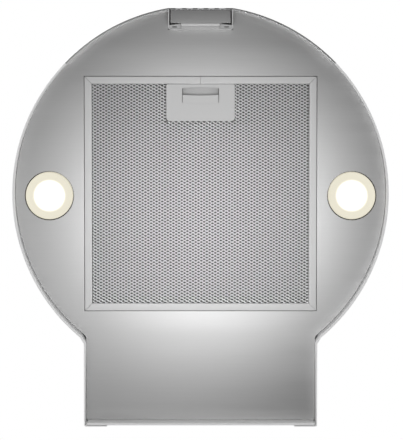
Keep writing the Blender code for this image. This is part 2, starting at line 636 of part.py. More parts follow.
def make_filter():
    half = FILTER_WIDTH / 2
    inside = half - FILTER_BORDER
    inner_front, inner_back = FILTER_FRONT_Y + FILTER_BORDER, FILTER_BACK_Y - FILTER_BORDER
    frame = flat("filter_frame", [rectangle(-half, half, FILTER_FRONT_Y, FILTER_BACK_Y, FRAME_CORNER),
                                  rectangle(-inside, inside, inner_front, inner_back, FRAME_CORNER / 2)],
                 FILTER_LOW, FILTER_LOW + FILTER_HEIGHT, ALUMINIUM)
    slot = BOLT_WIDTH / 2 + FILTER_CLEARANCE
    bolt_low = FILTER_LOW + BOLT_LEVEL
    boolean(frame, box("frame_slot_cutter", (-slot, FILTER_FRONT_Y - SHEET, bolt_low - FILTER_CLEARANCE),
                       (slot, inner_front + SHEET, bolt_low + BOLT_SHEET + FILTER_CLEARANCE),
                       None, CUTTERS))

    latch_half = LATCH_WIDTH / 2
    latch_back = LATCH_FRONT_Y + LATCH_LENGTH
    edge = TOUCH_GAP
    notch = latch_half + edge
    sheet_outline = [(notch, inner_front + edge), (inside - edge, inner_front + edge),
                     (inside - edge, inner_back - edge), (-inside + edge, inner_back - edge),
                     (-inside + edge, inner_front + edge), (-notch, inner_front + edge),
                     (-notch, latch_back + edge), (notch, latch_back + edge)]
    level = FILTER_LOW + MESH_LEVEL
    layers = []
    for name, thickness, material in (("filter_mesh_lower", MESH_SHEET, ALUMINIUM),
                                      ("filter_core", CORE_SHEET, DARK_ALUMINIUM),
                                      ("filter_mesh_upper", MESH_SHEET, ALUMINIUM)):
        layers.append(flat(name, [sheet_outline], level, level + thickness, material))
        level += thickness + TOUCH_GAP

    hooks = []
    for side, way in (("left", -1), ("right", 1)):
        middle = way * HOOK_SPREAD
        top = FILTER_LOW + FILTER_HEIGHT + TOUCH_GAP
        hooks.append(box(f"filter_hook_{side}", (middle - HOOK_WIDTH / 2, inner_back, top),
                         (middle + HOOK_WIDTH / 2, FILTER_BACK_Y + HOOK_REACH, top + HOOK_SHEET), STEEL))

    plate = flat("latch_plate", [rectangle(-latch_half, latch_half, LATCH_FRONT_Y, latch_back, LATCH_CORNER)],
                 FILTER_LOW, FILTER_LOW + FILTER_HEIGHT, GREY_PLASTIC)
    boolean(plate, box("latch_pocket_cutter",
                       (-latch_half + LATCH_WALL, LATCH_FRONT_Y + LATCH_WALL, FILTER_LOW + LATCH_WALL),
                       (latch_half - LATCH_WALL, latch_back - LATCH_WALL, 1.5 * FILTER_LOW), None, CUTTERS))
    pull_front = LATCH_FRONT_Y + PULL_START
    stem_front = pull_front + PULL_LENGTH
    stem_back = stem_front + LATCH_WALL
    pull_back = stem_back + LATCH_TRAVEL + FILTER_CLEARANCE
    boolean(plate, box("pull_opening_cutter", (-PULL_WIDTH / 2, pull_front, 0),
                       (PULL_WIDTH / 2, pull_back, FILTER_LOW + 2 * LATCH_WALL), None, CUTTERS))
    boolean(plate, box("plate_slot_cutter", (-slot, LATCH_FRONT_Y - SHEET, bolt_low - FILTER_CLEARANCE),
                       (slot, LATCH_FRONT_Y + 2 * LATCH_WALL, bolt_low + BOLT_SHEET + FILTER_CLEARANCE),
                       None, CUTTERS))

    pull_half = PULL_WIDTH / 2 - FILTER_CLEARANCE
    pad_low = FILTER_LOW - TOUCH_GAP - PULL_PAD_PROUD
    slider = box("latch_slider", (-pull_half, stem_front, pad_low),
                 (pull_half, stem_back, bolt_low + BOLT_SHEET), GREY_PLASTIC)
    pad = box("slider_pad", (-pull_half, stem_front, pad_low), (pull_half, stem_front + PULL_PAD_LENGTH,
              FILTER_LOW - TOUCH_GAP), None, CUTTERS)
    shelf_front = LATCH_FRONT_Y + LATCH_WALL + TOUCH_GAP
    shelf = box("slider_shelf", (-pull_half, shelf_front, bolt_low),
                (pull_half, stem_back, bolt_low + BOLT_SHEET), None, CUTTERS)
    bolt = box("slider_bolt", (-BOLT_WIDTH / 2, FILTER_FRONT_Y - FILTER_CLEARANCE - BOLT_REACH, bolt_low),
               (BOLT_WIDTH / 2, stem_back, bolt_low + BOLT_SHEET), None, CUTTERS)
    for part in (pad, shelf, bolt):
        boolean(slider, part, "UNION")
    set_origin(slider, (0, stem_front, bolt_low))

    start, end = stem_back + TOUCH_GAP + SPRING_WIRE, latch_back - LATCH_WALL - TOUCH_GAP - SPRING_WIRE
    spring_level = bolt_low + BOLT_SHEET / 2 - SPRING_RADIUS / 2
    steps = SPRING_TURNS * 8
    coil = []
    for step in range(steps + 1):
        turn = math.tau * SPRING_TURNS * step / steps
        coil.append((SPRING_RADIUS * math.cos(turn), start + (end - start) * step / steps,
                     spring_level + SPRING_RADIUS * math.sin(turn)))
    spring = wire("latch_spring", coil, SPRING_WIRE, SPRING_STEEL, 1)
    hang_on("filter_pivot", (0, FILTER_BACK_Y + FILTER_CLEARANCE / 2, FILTER_LOW),
            [frame, plate, slider, spring, *layers, *hooks])


# ---------------------------------------------------------------- lamps

def make_lamps():
    outer = LAMP_RADIUS - LAMP_CLEARANCE
    low = PANEL_RECESS + LAMP_INSET
    cup_low = PANEL_TOP + TOUCH_GAP
    for side, way in (("left", -1), ("right", 1)):
        place = (way * LAMP_SPREAD, DRUM_Y + LAMP_BEHIND, 0)
        turned(f"lamp_lens_{side}", [
            (outer - LENS_WALL, low + LENS_HEIGHT), (outer, low + LENS_HEIGHT), (outer, low + LENS_EDGE),
            (outer - LENS_EDGE, low), (0, low), (0, low + LENS_WALL), (outer - LENS_WALL, low + LENS_WALL)],
            place, LENS, steps=40, closed=True)
        wall, foot = LAMP_HOUSING_WALL, LAMP_RADIUS + LAMP_HOUSING_OVERLAP
        turned(f"lamp_housing_{side}", [
            (0, cup_low + LAMP_HOUSING_HEIGHT), (outer, cup_low + LAMP_HOUSING_HEIGHT),
            (outer + wall, cup_low + LAMP_HOUSING_HEIGHT - wall), (outer + wall, cup_low + wall),
            (foot, cup_low + wall), (foot, cup_low),
            (outer + TOUCH_GAP, cup_low), (outer + TOUCH_GAP, cup_low + LAMP_HOUSING_HEIGHT - 2 * wall),
            (0, cup_low + LAMP_HOUSING_HEIGHT - 2 * wall)], place, DARK_PLASTIC, steps=32)
        cylinder(f"lamp_led_{side}", LED_RADIUS, low + LENS_HEIGHT + TOUCH_GAP,
                 low + LENS_HEIGHT + TOUCH_GAP + LED_HEIGHT, place, LED_WHITE)


# ---------------------------------------------------------------- telescopic frame

def angle_outline(corner_x, corner_y, sheet_thickness):
    """An L-section whose outer corner points away from the middle."""
    way_x, way_y = math.copysign(1, corner_x), math.copysign(1, corner_y)
    leg_x, leg_y = corner_x - way_x * POST_LEG, corner_y - way_y * POST_LEG
    thin_x, thin_y = corner_x - way_x * sheet_thickness, corner_y - way_y * sheet_thickness
    points = [(corner_x, corner_y), (leg_x, corner_y), (leg_x, thin_y), (thin_x, thin_y), (thin_x, leg_y),
              (corner_x, leg_y)]
    return [(across, along + DRUM_Y) for across, along in points]


def make_frame():
    offset = POST_GAP + POST_SHEET
    corners = (("front_left", -1, -1), ("front_right", 1, -1), ("rear_left", -1, 1), ("rear_right", 1, 1))
    for name, way_x, way_y in corners:
        corner_x, corner_y = way_x * POST_SPREAD_X, way_y * POST_SPREAD_Y
        flat(f"lower_post_{name}", [angle_outline(corner_x, corner_y, POST_SHEET)], PANEL_TOP + TOUCH_GAP,
             LOWER_POST_TOP, ZINC)
        flat(f"upper_post_{name}",
             [angle_outline(corner_x + way_x * offset, corner_y + way_y * offset, POST_SHEET)],
             UPPER_POST_BOTTOM, CEILING_PLATE_LOW - TOUCH_GAP, ZINC)
    half_x = POST_SPREAD_X + offset + TOUCH_GAP
    half_y = POST_SPREAD_Y + offset + TOUCH_GAP
    flat("post_brace", [rectangle(-half_x - BRACE_BAND, half_x + BRACE_BAND, DRUM_Y - half_y - BRACE_BAND,
                                  DRUM_Y + half_y + BRACE_BAND, BRACE_CORNER),
                        rectangle(-half_x, half_x, DRUM_Y - half_y, DRUM_Y + half_y)],
         UPPER_POST_BOTTOM, UPPER_POST_BOTTOM + BRACE_HEIGHT, ZINC)

    screw_x, screw_y = CEILING_SCREW_SPREAD
    holes = [circle(0, DUCT_Y, DUCT_RADIUS + CEILING_HOLE_GAP, 32)]
    holes += [circle(way_x * screw_x, DUCT_Y + way_y * screw_y, CEILING_SCREW_RADIUS, 8)
              for way_x in (-1, 1) for way_y in (-1, 1)]
    back_inset = UPPER_PLATE_INSET + SHEET + SLEEVE_GAP
    flat("ceiling_plate", [closed_keyhole(INNER_INSET, back_inset), *holes], CEILING_PLATE_LOW, TOTAL_HEIGHT,
         ZINC)


# ---------------------------------------------------------------- blower

def scroll_outline(grow, top):
    """The spiral wall and straight outlet, grown outwards, in (Y, Z) from the impeller's axis."""
    turn = 360 - CUTOFF_ANGLE
    points = []
    steps = 20
    for step in range(steps + 1):
        angle = math.radians(CUTOFF_ANGLE + turn * step / steps)
        radius = SCROLL_START + (SCROLL_END - SCROLL_START) * step / steps + grow
        points.append((radius * math.cos(angle), radius * math.sin(angle)))
    points[0] = (OUTLET_INSIDE - grow, SCROLL_START * math.sin(math.radians(CUTOFF_ANGLE)) + grow)
    points += [(SCROLL_END + grow, top), (OUTLET_INSIDE - grow, top)]
    return points


def make_blower():
    axis = (0, BLOWER_Y, BLOWER_HEIGHT)
    inner = SCROLL_HALF_WIDTH - SCROLL_WALL
    for side, way in (("left", -1), ("right", 1)):
        low, high = sorted((way * SCROLL_HALF_WIDTH, way * TOUCH_GAP / 2))
        half = flat(f"scroll_{side}", [scroll_outline(SCROLL_WALL, OUTLET_RISE)], low, high, GREY_PLASTIC,
                    SIDE_PLANE, axis)
        low, high = sorted((way * inner, -way * SHEET))
        boolean(half, flat(f"scroll_cutter_{side}", [scroll_outline(0, OUTLET_RISE * 1.2)], low, high, None,
                           SIDE_PLANE, axis, CUTTERS))
        low, high = sorted((way * inner * 0.9, way * inner * 1.2))
        boolean(half, cylinder(f"inlet_cutter_{side}", INLET_RADIUS, low, high, axis, None, ALONG_X, 32,
                               CUTTERS))

    ring_low = IMPELLER_HALF_WIDTH - IMPELLER_RING
    wheel = turned("impeller", [
        (IMPELLER_RADIUS, IMPELLER_HALF_WIDTH), (IMPELLER_RADIUS, -IMPELLER_HALF_WIDTH),
        (IMPELLER_BORE, -IMPELLER_HALF_WIDTH), (IMPELLER_BORE, -DISC_HALF), (HUB_RADIUS, -DISC_HALF),
        (HUB_RADIUS, HUB_PROUD - HUB_LENGTH), (SHAFT_RADIUS + TOUCH_GAP, HUB_PROUD - HUB_LENGTH),
        (SHAFT_RADIUS + TOUCH_GAP, HUB_PROUD), (HUB_RADIUS, HUB_PROUD), (HUB_RADIUS, DISC_HALF),
        (IMPELLER_BORE, DISC_HALF), (IMPELLER_BORE, IMPELLER_HALF_WIDTH)],
        axis, BLACK_PLASTIC, ALONG_X, 2 * BLADE_COUNT, closed=True)
    gaps = bmesh.new()
    pitch = math.tau / BLADE_COUNT
    gap_width = IMPELLER_BORE * pitch * (1 - BLADE_SHARE)
    for way in (-1, 1):
        middle = way * (ring_low + 2 * DISC_HALF) / 2
        for index in range(BLADE_COUNT):
            made = bmesh.ops.create_cube(gaps, size=1)["verts"]
            reach = (IMPELLER_RADIUS - IMPELLER_BORE) * 2
            bmesh.ops.scale(gaps, vec=(reach, gap_width, ring_low - 2 * DISC_HALF), verts=made)
            bmesh.ops.translate(gaps, vec=((IMPELLER_RADIUS + IMPELLER_BORE) / 2, 0, middle), verts=made)
            bmesh.ops.rotate(gaps, matrix=Matrix.Rotation(index * pitch, 3, "Z"), verts=made)
    cutter = from_bmesh("blade_gap_cutter", gaps, None, CUTTERS)
    cutter.rotation_euler = ALONG_X
    cutter.location = axis
    boolean(wheel, cutter)
    cylinder("motor_shaft", SHAFT_RADIUS, DISC_HALF - HUB_LENGTH, MOTOR_START - TOUCH_GAP, axis, ZINC,
             ALONG_X, 16)

    end_radius = MOTOR_RADIUS - MOTOR_CHAMFER
    turned("motor", [
        (0, MOTOR_LENGTH), (end_radius, MOTOR_LENGTH), (MOTOR_RADIUS, MOTOR_LENGTH - MOTOR_CHAMFER),
        (MOTOR_RADIUS, MOTOR_CHAMFER), (end_radius, 0), (0, 0)],
        (MOTOR_START, BLOWER_Y, BLOWER_HEIGHT), ZINC, ALONG_X, 32)
    windows = []
    for index in range(3):
        start = 20 + 120 * index
        windows.append(arc(0, 0, MOTOR_RADIUS + BRACKET_HUB, start, start + 80, 8)
                       + arc(0, 0, INLET_RADIUS, start + 80, start, 8))
    plate_start = SCROLL_HALF_WIDTH + TOUCH_GAP
    flat("motor_bracket", [circle(0, 0, INLET_RADIUS + BRACKET_RIM, 36),
                           circle(0, 0, MOTOR_RADIUS + TOUCH_GAP, 32), *windows],
         plate_start, plate_start + BRACKET_SHEET, ZINC, SIDE_PLANE, axis)

    half_x = POST_SPREAD_X - POST_SHEET - TOUCH_GAP
    half_y = POST_SPREAD_Y - POST_SHEET - TOUCH_GAP
    flat("blower_plate", [rectangle(-half_x, half_x, DRUM_Y - half_y, DRUM_Y + half_y),
                          rectangle(-inner, inner, BLOWER_Y + OUTLET_INSIDE, BLOWER_Y + SCROLL_END)],
         BLOWER_PLATE_LOW, BLOWER_PLATE_LOW + BLOWER_PLATE_SHEET, ZINC)
    cylinder("capacitor", CAPACITOR_RADIUS, COLLAR_LOW, COLLAR_LOW + CAPACITOR_LENGTH,
             (CAPACITOR_FROM_POST - POST_SPREAD_X, DRUM_Y - POST_SPREAD_Y / 2, 0), GREY_PLASTIC)


# ---------------------------------------------------------------- outlet and damper

def make_outlet():
    bore = DUCT_RADIUS - DUCT_WALL
    turned("outlet_collar", [
        (bore, DUCT_LENGTH), (DUCT_RADIUS, DUCT_LENGTH), (DUCT_RADIUS, DUCT_WALL),
        (DUCT_RADIUS + DUCT_FLANGE, DUCT_WALL), (DUCT_RADIUS + DUCT_FLANGE, 0), (bore, 0)],
        (0, DUCT_Y, COLLAR_LOW), GREY_PLASTIC, steps=40, closed=True)
    level = COLLAR_LOW + DAMPER_LEVEL
    axis = (0, DUCT_Y, level)
    cylinder("damper_pin", PIN_RADIUS, TOUCH_GAP - bore, bore - TOUCH_GAP, axis, ZINC, ALONG_X, 16)
    radius = bore - DAMPER_CLEARANCE
    for name, way, spread in (("front", -1, FRONT_KNUCKLE_SPREAD), ("rear", 1, REAR_KNUCKLE_SPREAD)):
        reach = math.degrees(math.asin(DAMPER_EDGE / radius))
        outline = arc(0, 0, radius, reach, 180 - reach, 24)
        outline = [(across, way * along + DUCT_Y) for across, along in outline]
        flap = flat(f"damper_flap_{name}", [outline], level - DAMPER_SHEET / 2, level + DAMPER_SHEET / 2,
                    GREY_PLASTIC)
        for side in (-1, 1):
            middle = side * spread
            place = (middle, DUCT_Y, level)
            front, back = sorted((DUCT_Y + way * PIN_RADIUS, DUCT_Y + way * (DAMPER_EDGE + SHEET)))
            half = KNUCKLE_LENGTH / 2
            tab, rise = half * KNUCKLE_TAB_SHARE, DAMPER_SHEET / 2 * KNUCKLE_TAB_SHARE
            boolean(flap, cylinder(f"knuckle_{name}_{side + 1}", KNUCKLE_RADIUS, -half, half, place, None,
                                   ALONG_X, 16, CUTTERS), "UNION")
            boolean(flap, box(f"knuckle_tab_{name}_{side + 1}", (middle - tab, front, level - rise),
                              (middle + tab, back, level + rise), None, CUTTERS), "UNION")
        boolean(flap, cylinder(f"knuckle_bore_{name}", PIN_RADIUS + TOUCH_GAP, -bore, bore, axis, None,
                               ALONG_X, 16, CUTTERS))
        set_origin(flap, axis)


# ---------------------------------------------------------------- electrics

def smooth_route(points, step_count):
    """Points read along a Catmull-Rom curve through the route's own points."""
    knots = [Vector(point) for point in points]
    knots = [2 * knots[0] - knots[1], *knots, 2 * knots[-1] - knots[-2]]
    route = []
    for before, start, end, after in zip(knots, knots[1:], knots[2:], knots[3:]):
        for step in range(step_count):
            share = step / step_count
            route.append(0.5 * (2 * start + (end - before) * share
                                + (2 * before - 5 * start + 4 * end - after) * share ** 2
                                + (3 * start - before - 3 * end + after) * share ** 3))
    return route + [knots[-2]]


def make_electrics():
    half_x, half_y = BOX_WIDTH / 2, BOX_LENGTH / 2
    floor = PANEL_TOP + TOUCH_GAP
    case = box("electronics_box", (-half_x, BOX_Y - half_y, floor), (half_x, BOX_Y + half_y, BOX_TOP),
               BLACK_PLASTIC)
    boolean(case, box("electronics_box_cutter",
                      (BOX_WALL - half_x, BOX_Y - half_y + BOX_WALL, floor + BOX_WALL),
                      (half_x - BOX_WALL, BOX_Y + half_y - BOX_WALL, BOX_TOP * 2), None, CUTTERS))
    lid_low = BOX_TOP + TOUCH_GAP
    lid = box("electronics_lid", (-half_x, BOX_Y - half_y, lid_low),
              (half_x, BOX_Y + half_y, lid_low + LID_HEIGHT), BLACK_PLASTIC)
    gland_x = -half_x / 2
    boolean(lid, cylinder("gland_hole_cutter", GLAND_BORE, 0, BOX_TOP * 2, (gland_x, BOX_Y, 0), None,
                          group=CUTTERS))
    gland_low = lid_low + LID_HEIGHT + TOUCH_GAP
    turned("cable_gland", [
        (GLAND_BORE, gland_low + GLAND_HEIGHT), (GLAND_RADIUS * 0.8, gland_low + GLAND_HEIGHT),
        (GLAND_RADIUS, gland_low + GLAND_HEIGHT * 0.75), (GLAND_RADIUS, gland_low), (GLAND_BORE, gland_low)],
        (gland_x, BOX_Y, 0), GREY_PLASTIC, steps=12, closed=True)
    board_x, board_y = half_x - BOX_WALL - BOARD_MARGIN, half_y - BOX_WALL - BOARD_MARGIN
    board_low = floor + BOARD_LEVEL
    box("control_board", (-board_x, BOX_Y - board_y, board_low),
        (board_x, BOX_Y + board_y, board_low + BOARD_SHEET), BOARD_GREEN)

    low_way = floor + LEAD_RADIUS + LEAD_LOW
    lamp_level = floor + LEAD_LEVEL
    box_side = half_x + TOUCH_GAP
    for side, way in (("left", -1), ("right", 1)):
        wire(f"lamp_lead_{side}", smooth_route([
            (way * LAMP_SPREAD, DRUM_Y + LAMP_BEHIND + LAMP_RADIUS + LAMP_LEAD_START, lamp_level),
            (way * LAMP_SPREAD, DRUM_Y + 0.060, lamp_level),
            (way * 0.157, DRUM_Y + 0.100, low_way),
            (way * 0.112, DRUM_Y + 0.150, low_way),
            (way * 0.090, BOX_Y - 0.015, low_way),
            (way * (box_side + LEAD_STUB), BOX_Y - 0.020, lamp_level),
            (way * box_side, BOX_Y - 0.020, lamp_level)], 4), LEAD_RADIUS, LEAD_WHITE, 1)
    thin_lead = LEAD_RADIUS * 0.8
    over_flange = PANEL_RECESS + PANEL_FLANGE + TOUCH_GAP + LEAD_RADIUS
    on_kerb = KERB_HALF_WIDTH - SHEET / 2
    wire("control_lead", smooth_route([
        (0.020, CONTROL_BACK_Y + TOUCH_GAP + LEAD_RADIUS, over_flange),
        (0.060, DRUM_Y - 0.160, over_flange),
        (0.105, DRUM_Y - 0.142, over_flange),
        (on_kerb, DRUM_Y - 0.110, over_flange),
        (on_kerb, DRUM_Y, over_flange),
        (on_kerb, DRUM_Y + 0.110, over_flange),
        (0.110, DRUM_Y + 0.150, over_flange),
        (0.092, BOX_Y + 0.005, over_flange),
        (box_side + LEAD_STUB, BOX_Y + 0.015, over_flange),
        (box_side, BOX_Y + 0.015, over_flange)], 4), thin_lead, LEAD_BLACK, 1)
    motor_end = MOTOR_START + MOTOR_LENGTH + 2 * TOUCH_GAP
    lid_top = lid_low + LID_HEIGHT + TOUCH_GAP
    wire("motor_lead", smooth_route([
        (motor_end, BLOWER_Y, BLOWER_HEIGHT - 0.015),
        (motor_end + 0.006, BLOWER_Y, BLOWER_HEIGHT - 0.015),
        (motor_end + 0.014, BLOWER_Y + 0.008, BLOWER_HEIGHT - 0.018),
        (motor_end + 0.018, BLOWER_Y + 0.030, BLOWER_HEIGHT - 0.030),
        (motor_end + 0.014, DRUM_Y + 0.040, BLOWER_HEIGHT - 0.060),
        (motor_end, DRUM_Y + 0.110, BLOWER_HEIGHT - 0.075),
        (half_x / 2, BOX_Y - 0.015, lid_top + 0.020),
        (half_x / 2, BOX_Y, lid_top + 0.010),
        (half_x / 2, BOX_Y, lid_top)], 4), LEAD_RADIUS, LEAD_BLACK, 1)


clear_scene()
PARTS = new_collection("range_hood")
CUTTERS = new_collection("cutters")
CUTTERS.hide_render = True
STEEL = finish("brushed stainless steel", (0.58, 0.58, 0.57), 0.32, 1.0)
ALUMINIUM = finish("anodised aluminium", (0.72, 0.72, 0.72), 0.38, 1.0)
DARK_ALUMINIUM = finish("aluminium core mesh", (0.35, 0.35, 0.35), 0.55, 1.0)
GREY_PLASTIC = finish("light grey plastic", (0.62, 0.62, 0.61), 0.42, 0.0)
DARK_PLASTIC = finish("silver grey plastic", (0.50, 0.50, 0.49), 0.45, 0.0)
BLACK_PLASTIC = finish("black plastic", (0.02, 0.02, 0.02), 0.5, 0.0)
CHROME = finish("satin chrome", (0.70, 0.70, 0.70), 0.2, 1.0)
ZINC = finish("zinc plated steel", (0.55, 0.56, 0.57), 0.42, 1.0)
SPRING_STEEL = finish("spring steel", (0.40, 0.40, 0.40), 0.3, 1.0)
LENS = finish("frosted lamp glass", (0.86, 0.85, 0.78), 0.35, 0.0)
LED_WHITE = finish("lamp module", (0.95, 0.94, 0.88), 0.5, 0.0)
BOARD_GREEN = finish("circuit board", (0.03, 0.18, 0.07), 0.5, 0.0)
LEAD_BLACK = finish("black lead", (0.02, 0.02, 0.02), 0.55, 0.0)
LEAD_WHITE = finish("white lead", (0.75, 0.75, 0.73), 0.5, 0.0)
make_skins()
make_panel()
make_controls()
make_filter()
make_lamps()
make_frame()
make_blower()
make_outlet()
make_electrics()
bpy.context.view_layer.update()
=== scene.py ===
"""Looks of the ceiling-hung cylinder range hood: its steel skins, filter, latch, lamps and controls
in detail, with a finish for every piece, a soft studio and the camera."""
import math

import bmesh
import bpy
from mathutils import Matrix, Vector


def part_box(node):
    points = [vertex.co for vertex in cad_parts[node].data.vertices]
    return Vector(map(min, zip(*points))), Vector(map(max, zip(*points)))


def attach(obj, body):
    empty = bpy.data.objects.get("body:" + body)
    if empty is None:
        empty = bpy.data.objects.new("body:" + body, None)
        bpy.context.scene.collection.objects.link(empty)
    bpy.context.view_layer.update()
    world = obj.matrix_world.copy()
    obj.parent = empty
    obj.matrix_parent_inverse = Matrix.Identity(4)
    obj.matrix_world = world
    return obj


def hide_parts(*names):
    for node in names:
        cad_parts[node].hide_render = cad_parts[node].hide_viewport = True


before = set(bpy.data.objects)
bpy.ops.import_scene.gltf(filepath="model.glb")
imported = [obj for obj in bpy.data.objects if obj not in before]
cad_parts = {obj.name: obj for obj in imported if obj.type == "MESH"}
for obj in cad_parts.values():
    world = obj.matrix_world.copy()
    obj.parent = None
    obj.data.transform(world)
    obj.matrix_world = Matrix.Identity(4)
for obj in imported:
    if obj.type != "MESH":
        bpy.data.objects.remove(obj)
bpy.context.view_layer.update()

# ---------------------------------------------------------------- sizes, in metres
MM = 0.001
NECK_BACK = 0.249           # the neck's flat back behind the drum's axis
DRUM_RADIUS = 0.200
NECK_HALF_WIDTH = 0.1245
RETURN_FLANGE = 0.0245      # folded in at the back corners
BACK_FOLD = 2 * MM          # outside radius of the back folds
NECK_FILLET = 3.5 * MM      # along the neck, where it leaves the drum
CIRCLE_STEPS = 180
SHEET = 1.0 * MM
HEM_THICKNESS = 2.4 * MM
HEM_ROUNDING = 1.1 * MM     # of both lower edges of the hem
RIM_ROUNDING = 0.2 * MM     # of a skin's plain edges
HEM_HEIGHT = 8.0 * MM
PAINTED_LIGHT_SPLIT_Y = -0.165        # in front of this the rim keeps the skin's own darker finish as painted shade; behind it the rim gets painted light
SLEEVE_INSET = 1.8 * MM     # of the upper skin inside the lower one
SLEEVE_BACK_INSET = 3.1 * MM
FRAME_BORDER = 8 * MM
MITRE_GAP = 0.03 * MM       # half of the seam between two frame bars
MESH_LONG, MESH_SHORT = 6.0 * MM, 3.36 * MM     # diamond of the expanded aluminium
STRAND = 0.52 * MM          # half of a strand's width
STRAND_RISE = 0.36 * MM     # twist of a strand out of the sheet
STRAND_SHEET = 0.3 * MM
LAMP_SPREAD = 0.1624
TONGUE_DEPTH = 14.6 * MM    # flat underside of the fascia
LIP_HALF = 20.5 * MM        # half width of the lip behind it
BOLT_SLOT_HALF = 10.5 * MM  # way of the latch bolt through the filter's front bar and the cover
BOLT_SLOT_BELOW, BOLT_SLOT_ABOVE = 2.3 * MM, 0.5 * MM
LAMP_GAP = 0.6 * MM         # added round the lamp glass, so that the joint shows
BUTTON_HOLE_RADIUS = 4.2 * MM
FLOOR_LEVEL, FLOOR_SIZE = -9, 16

low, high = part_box("lower_skin")
DRUM_Y = high.y - NECK_BACK
SKIN_TOP = high.z
FRONT_Y = low.y
NOTCH_HALF = math.sqrt(DRUM_RADIUS ** 2 - (DRUM_Y - FRONT_Y) ** 2)
NOTCH_TOP = 40.4 * MM


# ---------------------------------------------------------------- camera, floor and light
def look(thing, target, up):
    """Turns a camera or a light towards the target, its top towards up."""
    back = (thing.location - Vector(target)).normalized()
    right = Vector(up).cross(back).normalized()
    top = back.cross(right)
    thing.rotation_euler = Matrix((right, top, back)).transposed().to_euler()


def place_camera():
    lens = bpy.data.cameras.new("camera")
    lens.lens, lens.sensor_width = 231.0, 36.0
    lens.clip_end = 100
    camera = bpy.data.objects.new("camera", lens)
    bpy.context.scene.collection.objects.link(camera)
    camera.location = (0.001, -0.218, -2.992)
    look(camera, (0.001, 0.0016, 0), (0, -1, 0))
    bpy.context.scene.camera = camera


def add_light(name, place, target, width, height, watts, colour="FFFFFF"):
    lamp = bpy.data.lights.new(name, "AREA")
    lamp.shape = "ELLIPSE"
    lamp.size, lamp.size_y, lamp.energy = width, height, watts
    lamp.color = tone(colour)[:3]
    light = bpy.data.objects.new(name, lamp)
    bpy.context.scene.collection.objects.link(light)
    light.location = place
    light.visible_camera = False
    look(light, target, (0, 1, 0.01))
    return light


def tone(hex_colour):
    """A colour written in sRGB hex, as linear red, green, blue and full opacity."""
    parts = [int(hex_colour[start:start + 2], 16) / 255 for start in (0, 2, 4)]
    return (*[part / 12.92 if part <= 0.04045 else ((part + 0.055) / 1.055) ** 2.4 for part in parts], 1.0)


def add_node(tree, kind, settings=None, links=None, **values):
    """One shader node: its own settings, its sockets' values by name, and links as {socket: source}."""
    made = tree.nodes.new(kind)
    for key, value in (settings or {}).items():
        setattr(made, key, value)
    for key, value in values.items():
        made.inputs[key.replace("_", " ")].default_value = value
    for key, source in (links or {}).items():
        tree.links.new(source, made.inputs[key])
    return made


# ---------------------------------------------------------------- modelling steps
def clear_selection():
    if bpy.context.mode != "OBJECT":
        bpy.ops.object.mode_set(mode="OBJECT")
    bpy.ops.object.select_all(action="DESELECT")


def add(primitive, name, scale=(1, 1, 1), **sizes):
    """A new primitive at its size and place, left in edit mode with all of it selected."""
    clear_selection()
    getattr(bpy.ops.mesh, f"primitive_{primitive}_add")(**sizes)
    piece = bpy.context.object
    piece.name = piece.data.name = name
    piece.scale = scale
    bpy.ops.object.transform_apply(location=True, rotation=True, scale=True)
    bpy.ops.object.mode_set(mode="EDIT")
    bpy.ops.mesh.select_all(action="SELECT")
    return piece


def add_block(name, low_corner, high_corner):
    low_corner, high_corner = Vector(low_corner), Vector(high_corner)
    return add("cube", name, size=1, location=(low_corner + high_corner) / 2, scale=high_corner - low_corner)


def pick(kind, test):
    """Selects only the VERT, EDGE or FACE items of the edited mesh whose middle passes the test."""
    bpy.ops.mesh.select_mode(type=kind)
    bpy.ops.mesh.select_all(action="DESELECT")
    mesh = bpy.context.edit_object.data
    shape = bmesh.from_edit_mesh(mesh)
    items = {"VERT": shape.verts, "EDGE": shape.edges, "FACE": shape.faces}[kind]
    count = 0
    for item in items:
        if kind == "VERT":
            middle, extra = item.co, item.normal
        elif kind == "EDGE":
            middle, extra = (item.verts[0].co + item.verts[1].co) / 2, item.verts[1].co - item.verts[0].co
        else:
            middle, extra = item.calc_center_median(), item.normal
        if test(middle, extra):
            item.select_set(True)
            count += 1
    shape.select_flush_mode()
    bmesh.update_edit_mesh(mesh)
    return count


def extrude(offset):
    bpy.ops.mesh.extrude_region_move(TRANSFORM_OT_translate={"value": offset})


def move(offset):
    bpy.ops.transform.translate(value=offset)


def outward():
    bpy.ops.mesh.select_all(action="SELECT")
    bpy.ops.mesh.remove_doubles(threshold=0.00001)
    bpy.ops.mesh.normals_make_consistent(inside=False)


def close_edit():
    bpy.ops.object.mode_set(mode="OBJECT")


def modify(piece, kind, **settings):
    """Adds a modifier with these settings and applies it."""
    clear_selection()
    bpy.context.view_layer.objects.active = piece
    piece.select_set(True)
    step = piece.modifiers.new(kind.lower(), kind)
    for key, value in settings.items():
        setattr(step, key, value)
    bpy.ops.object.modifier_apply(modifier=step.name)


def cut(piece, cutter, operation="DIFFERENCE"):
    if bpy.context.mode != "OBJECT":
        close_edit()
    modify(piece, "BOOLEAN", object=cutter, operation=operation, solver="EXACT")
    bpy.data.objects.remove(cutter, do_unlink=True)


def rounded(piece, width, segments=2, angle=30):
    modify(piece, "BEVEL", width=width, segments=segments, limit_method="ANGLE",
           angle_limit=math.radians(angle), harden_normals=False)


def smooth(piece, angle=35):
    clear_selection()
    bpy.context.view_layer.objects.active = piece
    piece.select_set(True)
    bpy.ops.object.shade_smooth_by_angle(angle=math.radians(angle))
    modify(piece, "WEIGHTED_NORMAL", keep_sharp=True, weight=80)


def keep(piece, material, body, slot, *nodes):
    """Gives the finished piece its material and body, and hides the CAD nodes that it stands for; the slot is
    not used.
    """
    clear_selection()
    piece.data.materials.clear()
    piece.data.materials.append(material)
    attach(piece, body)
    if nodes:
        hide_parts(*nodes)
    return piece


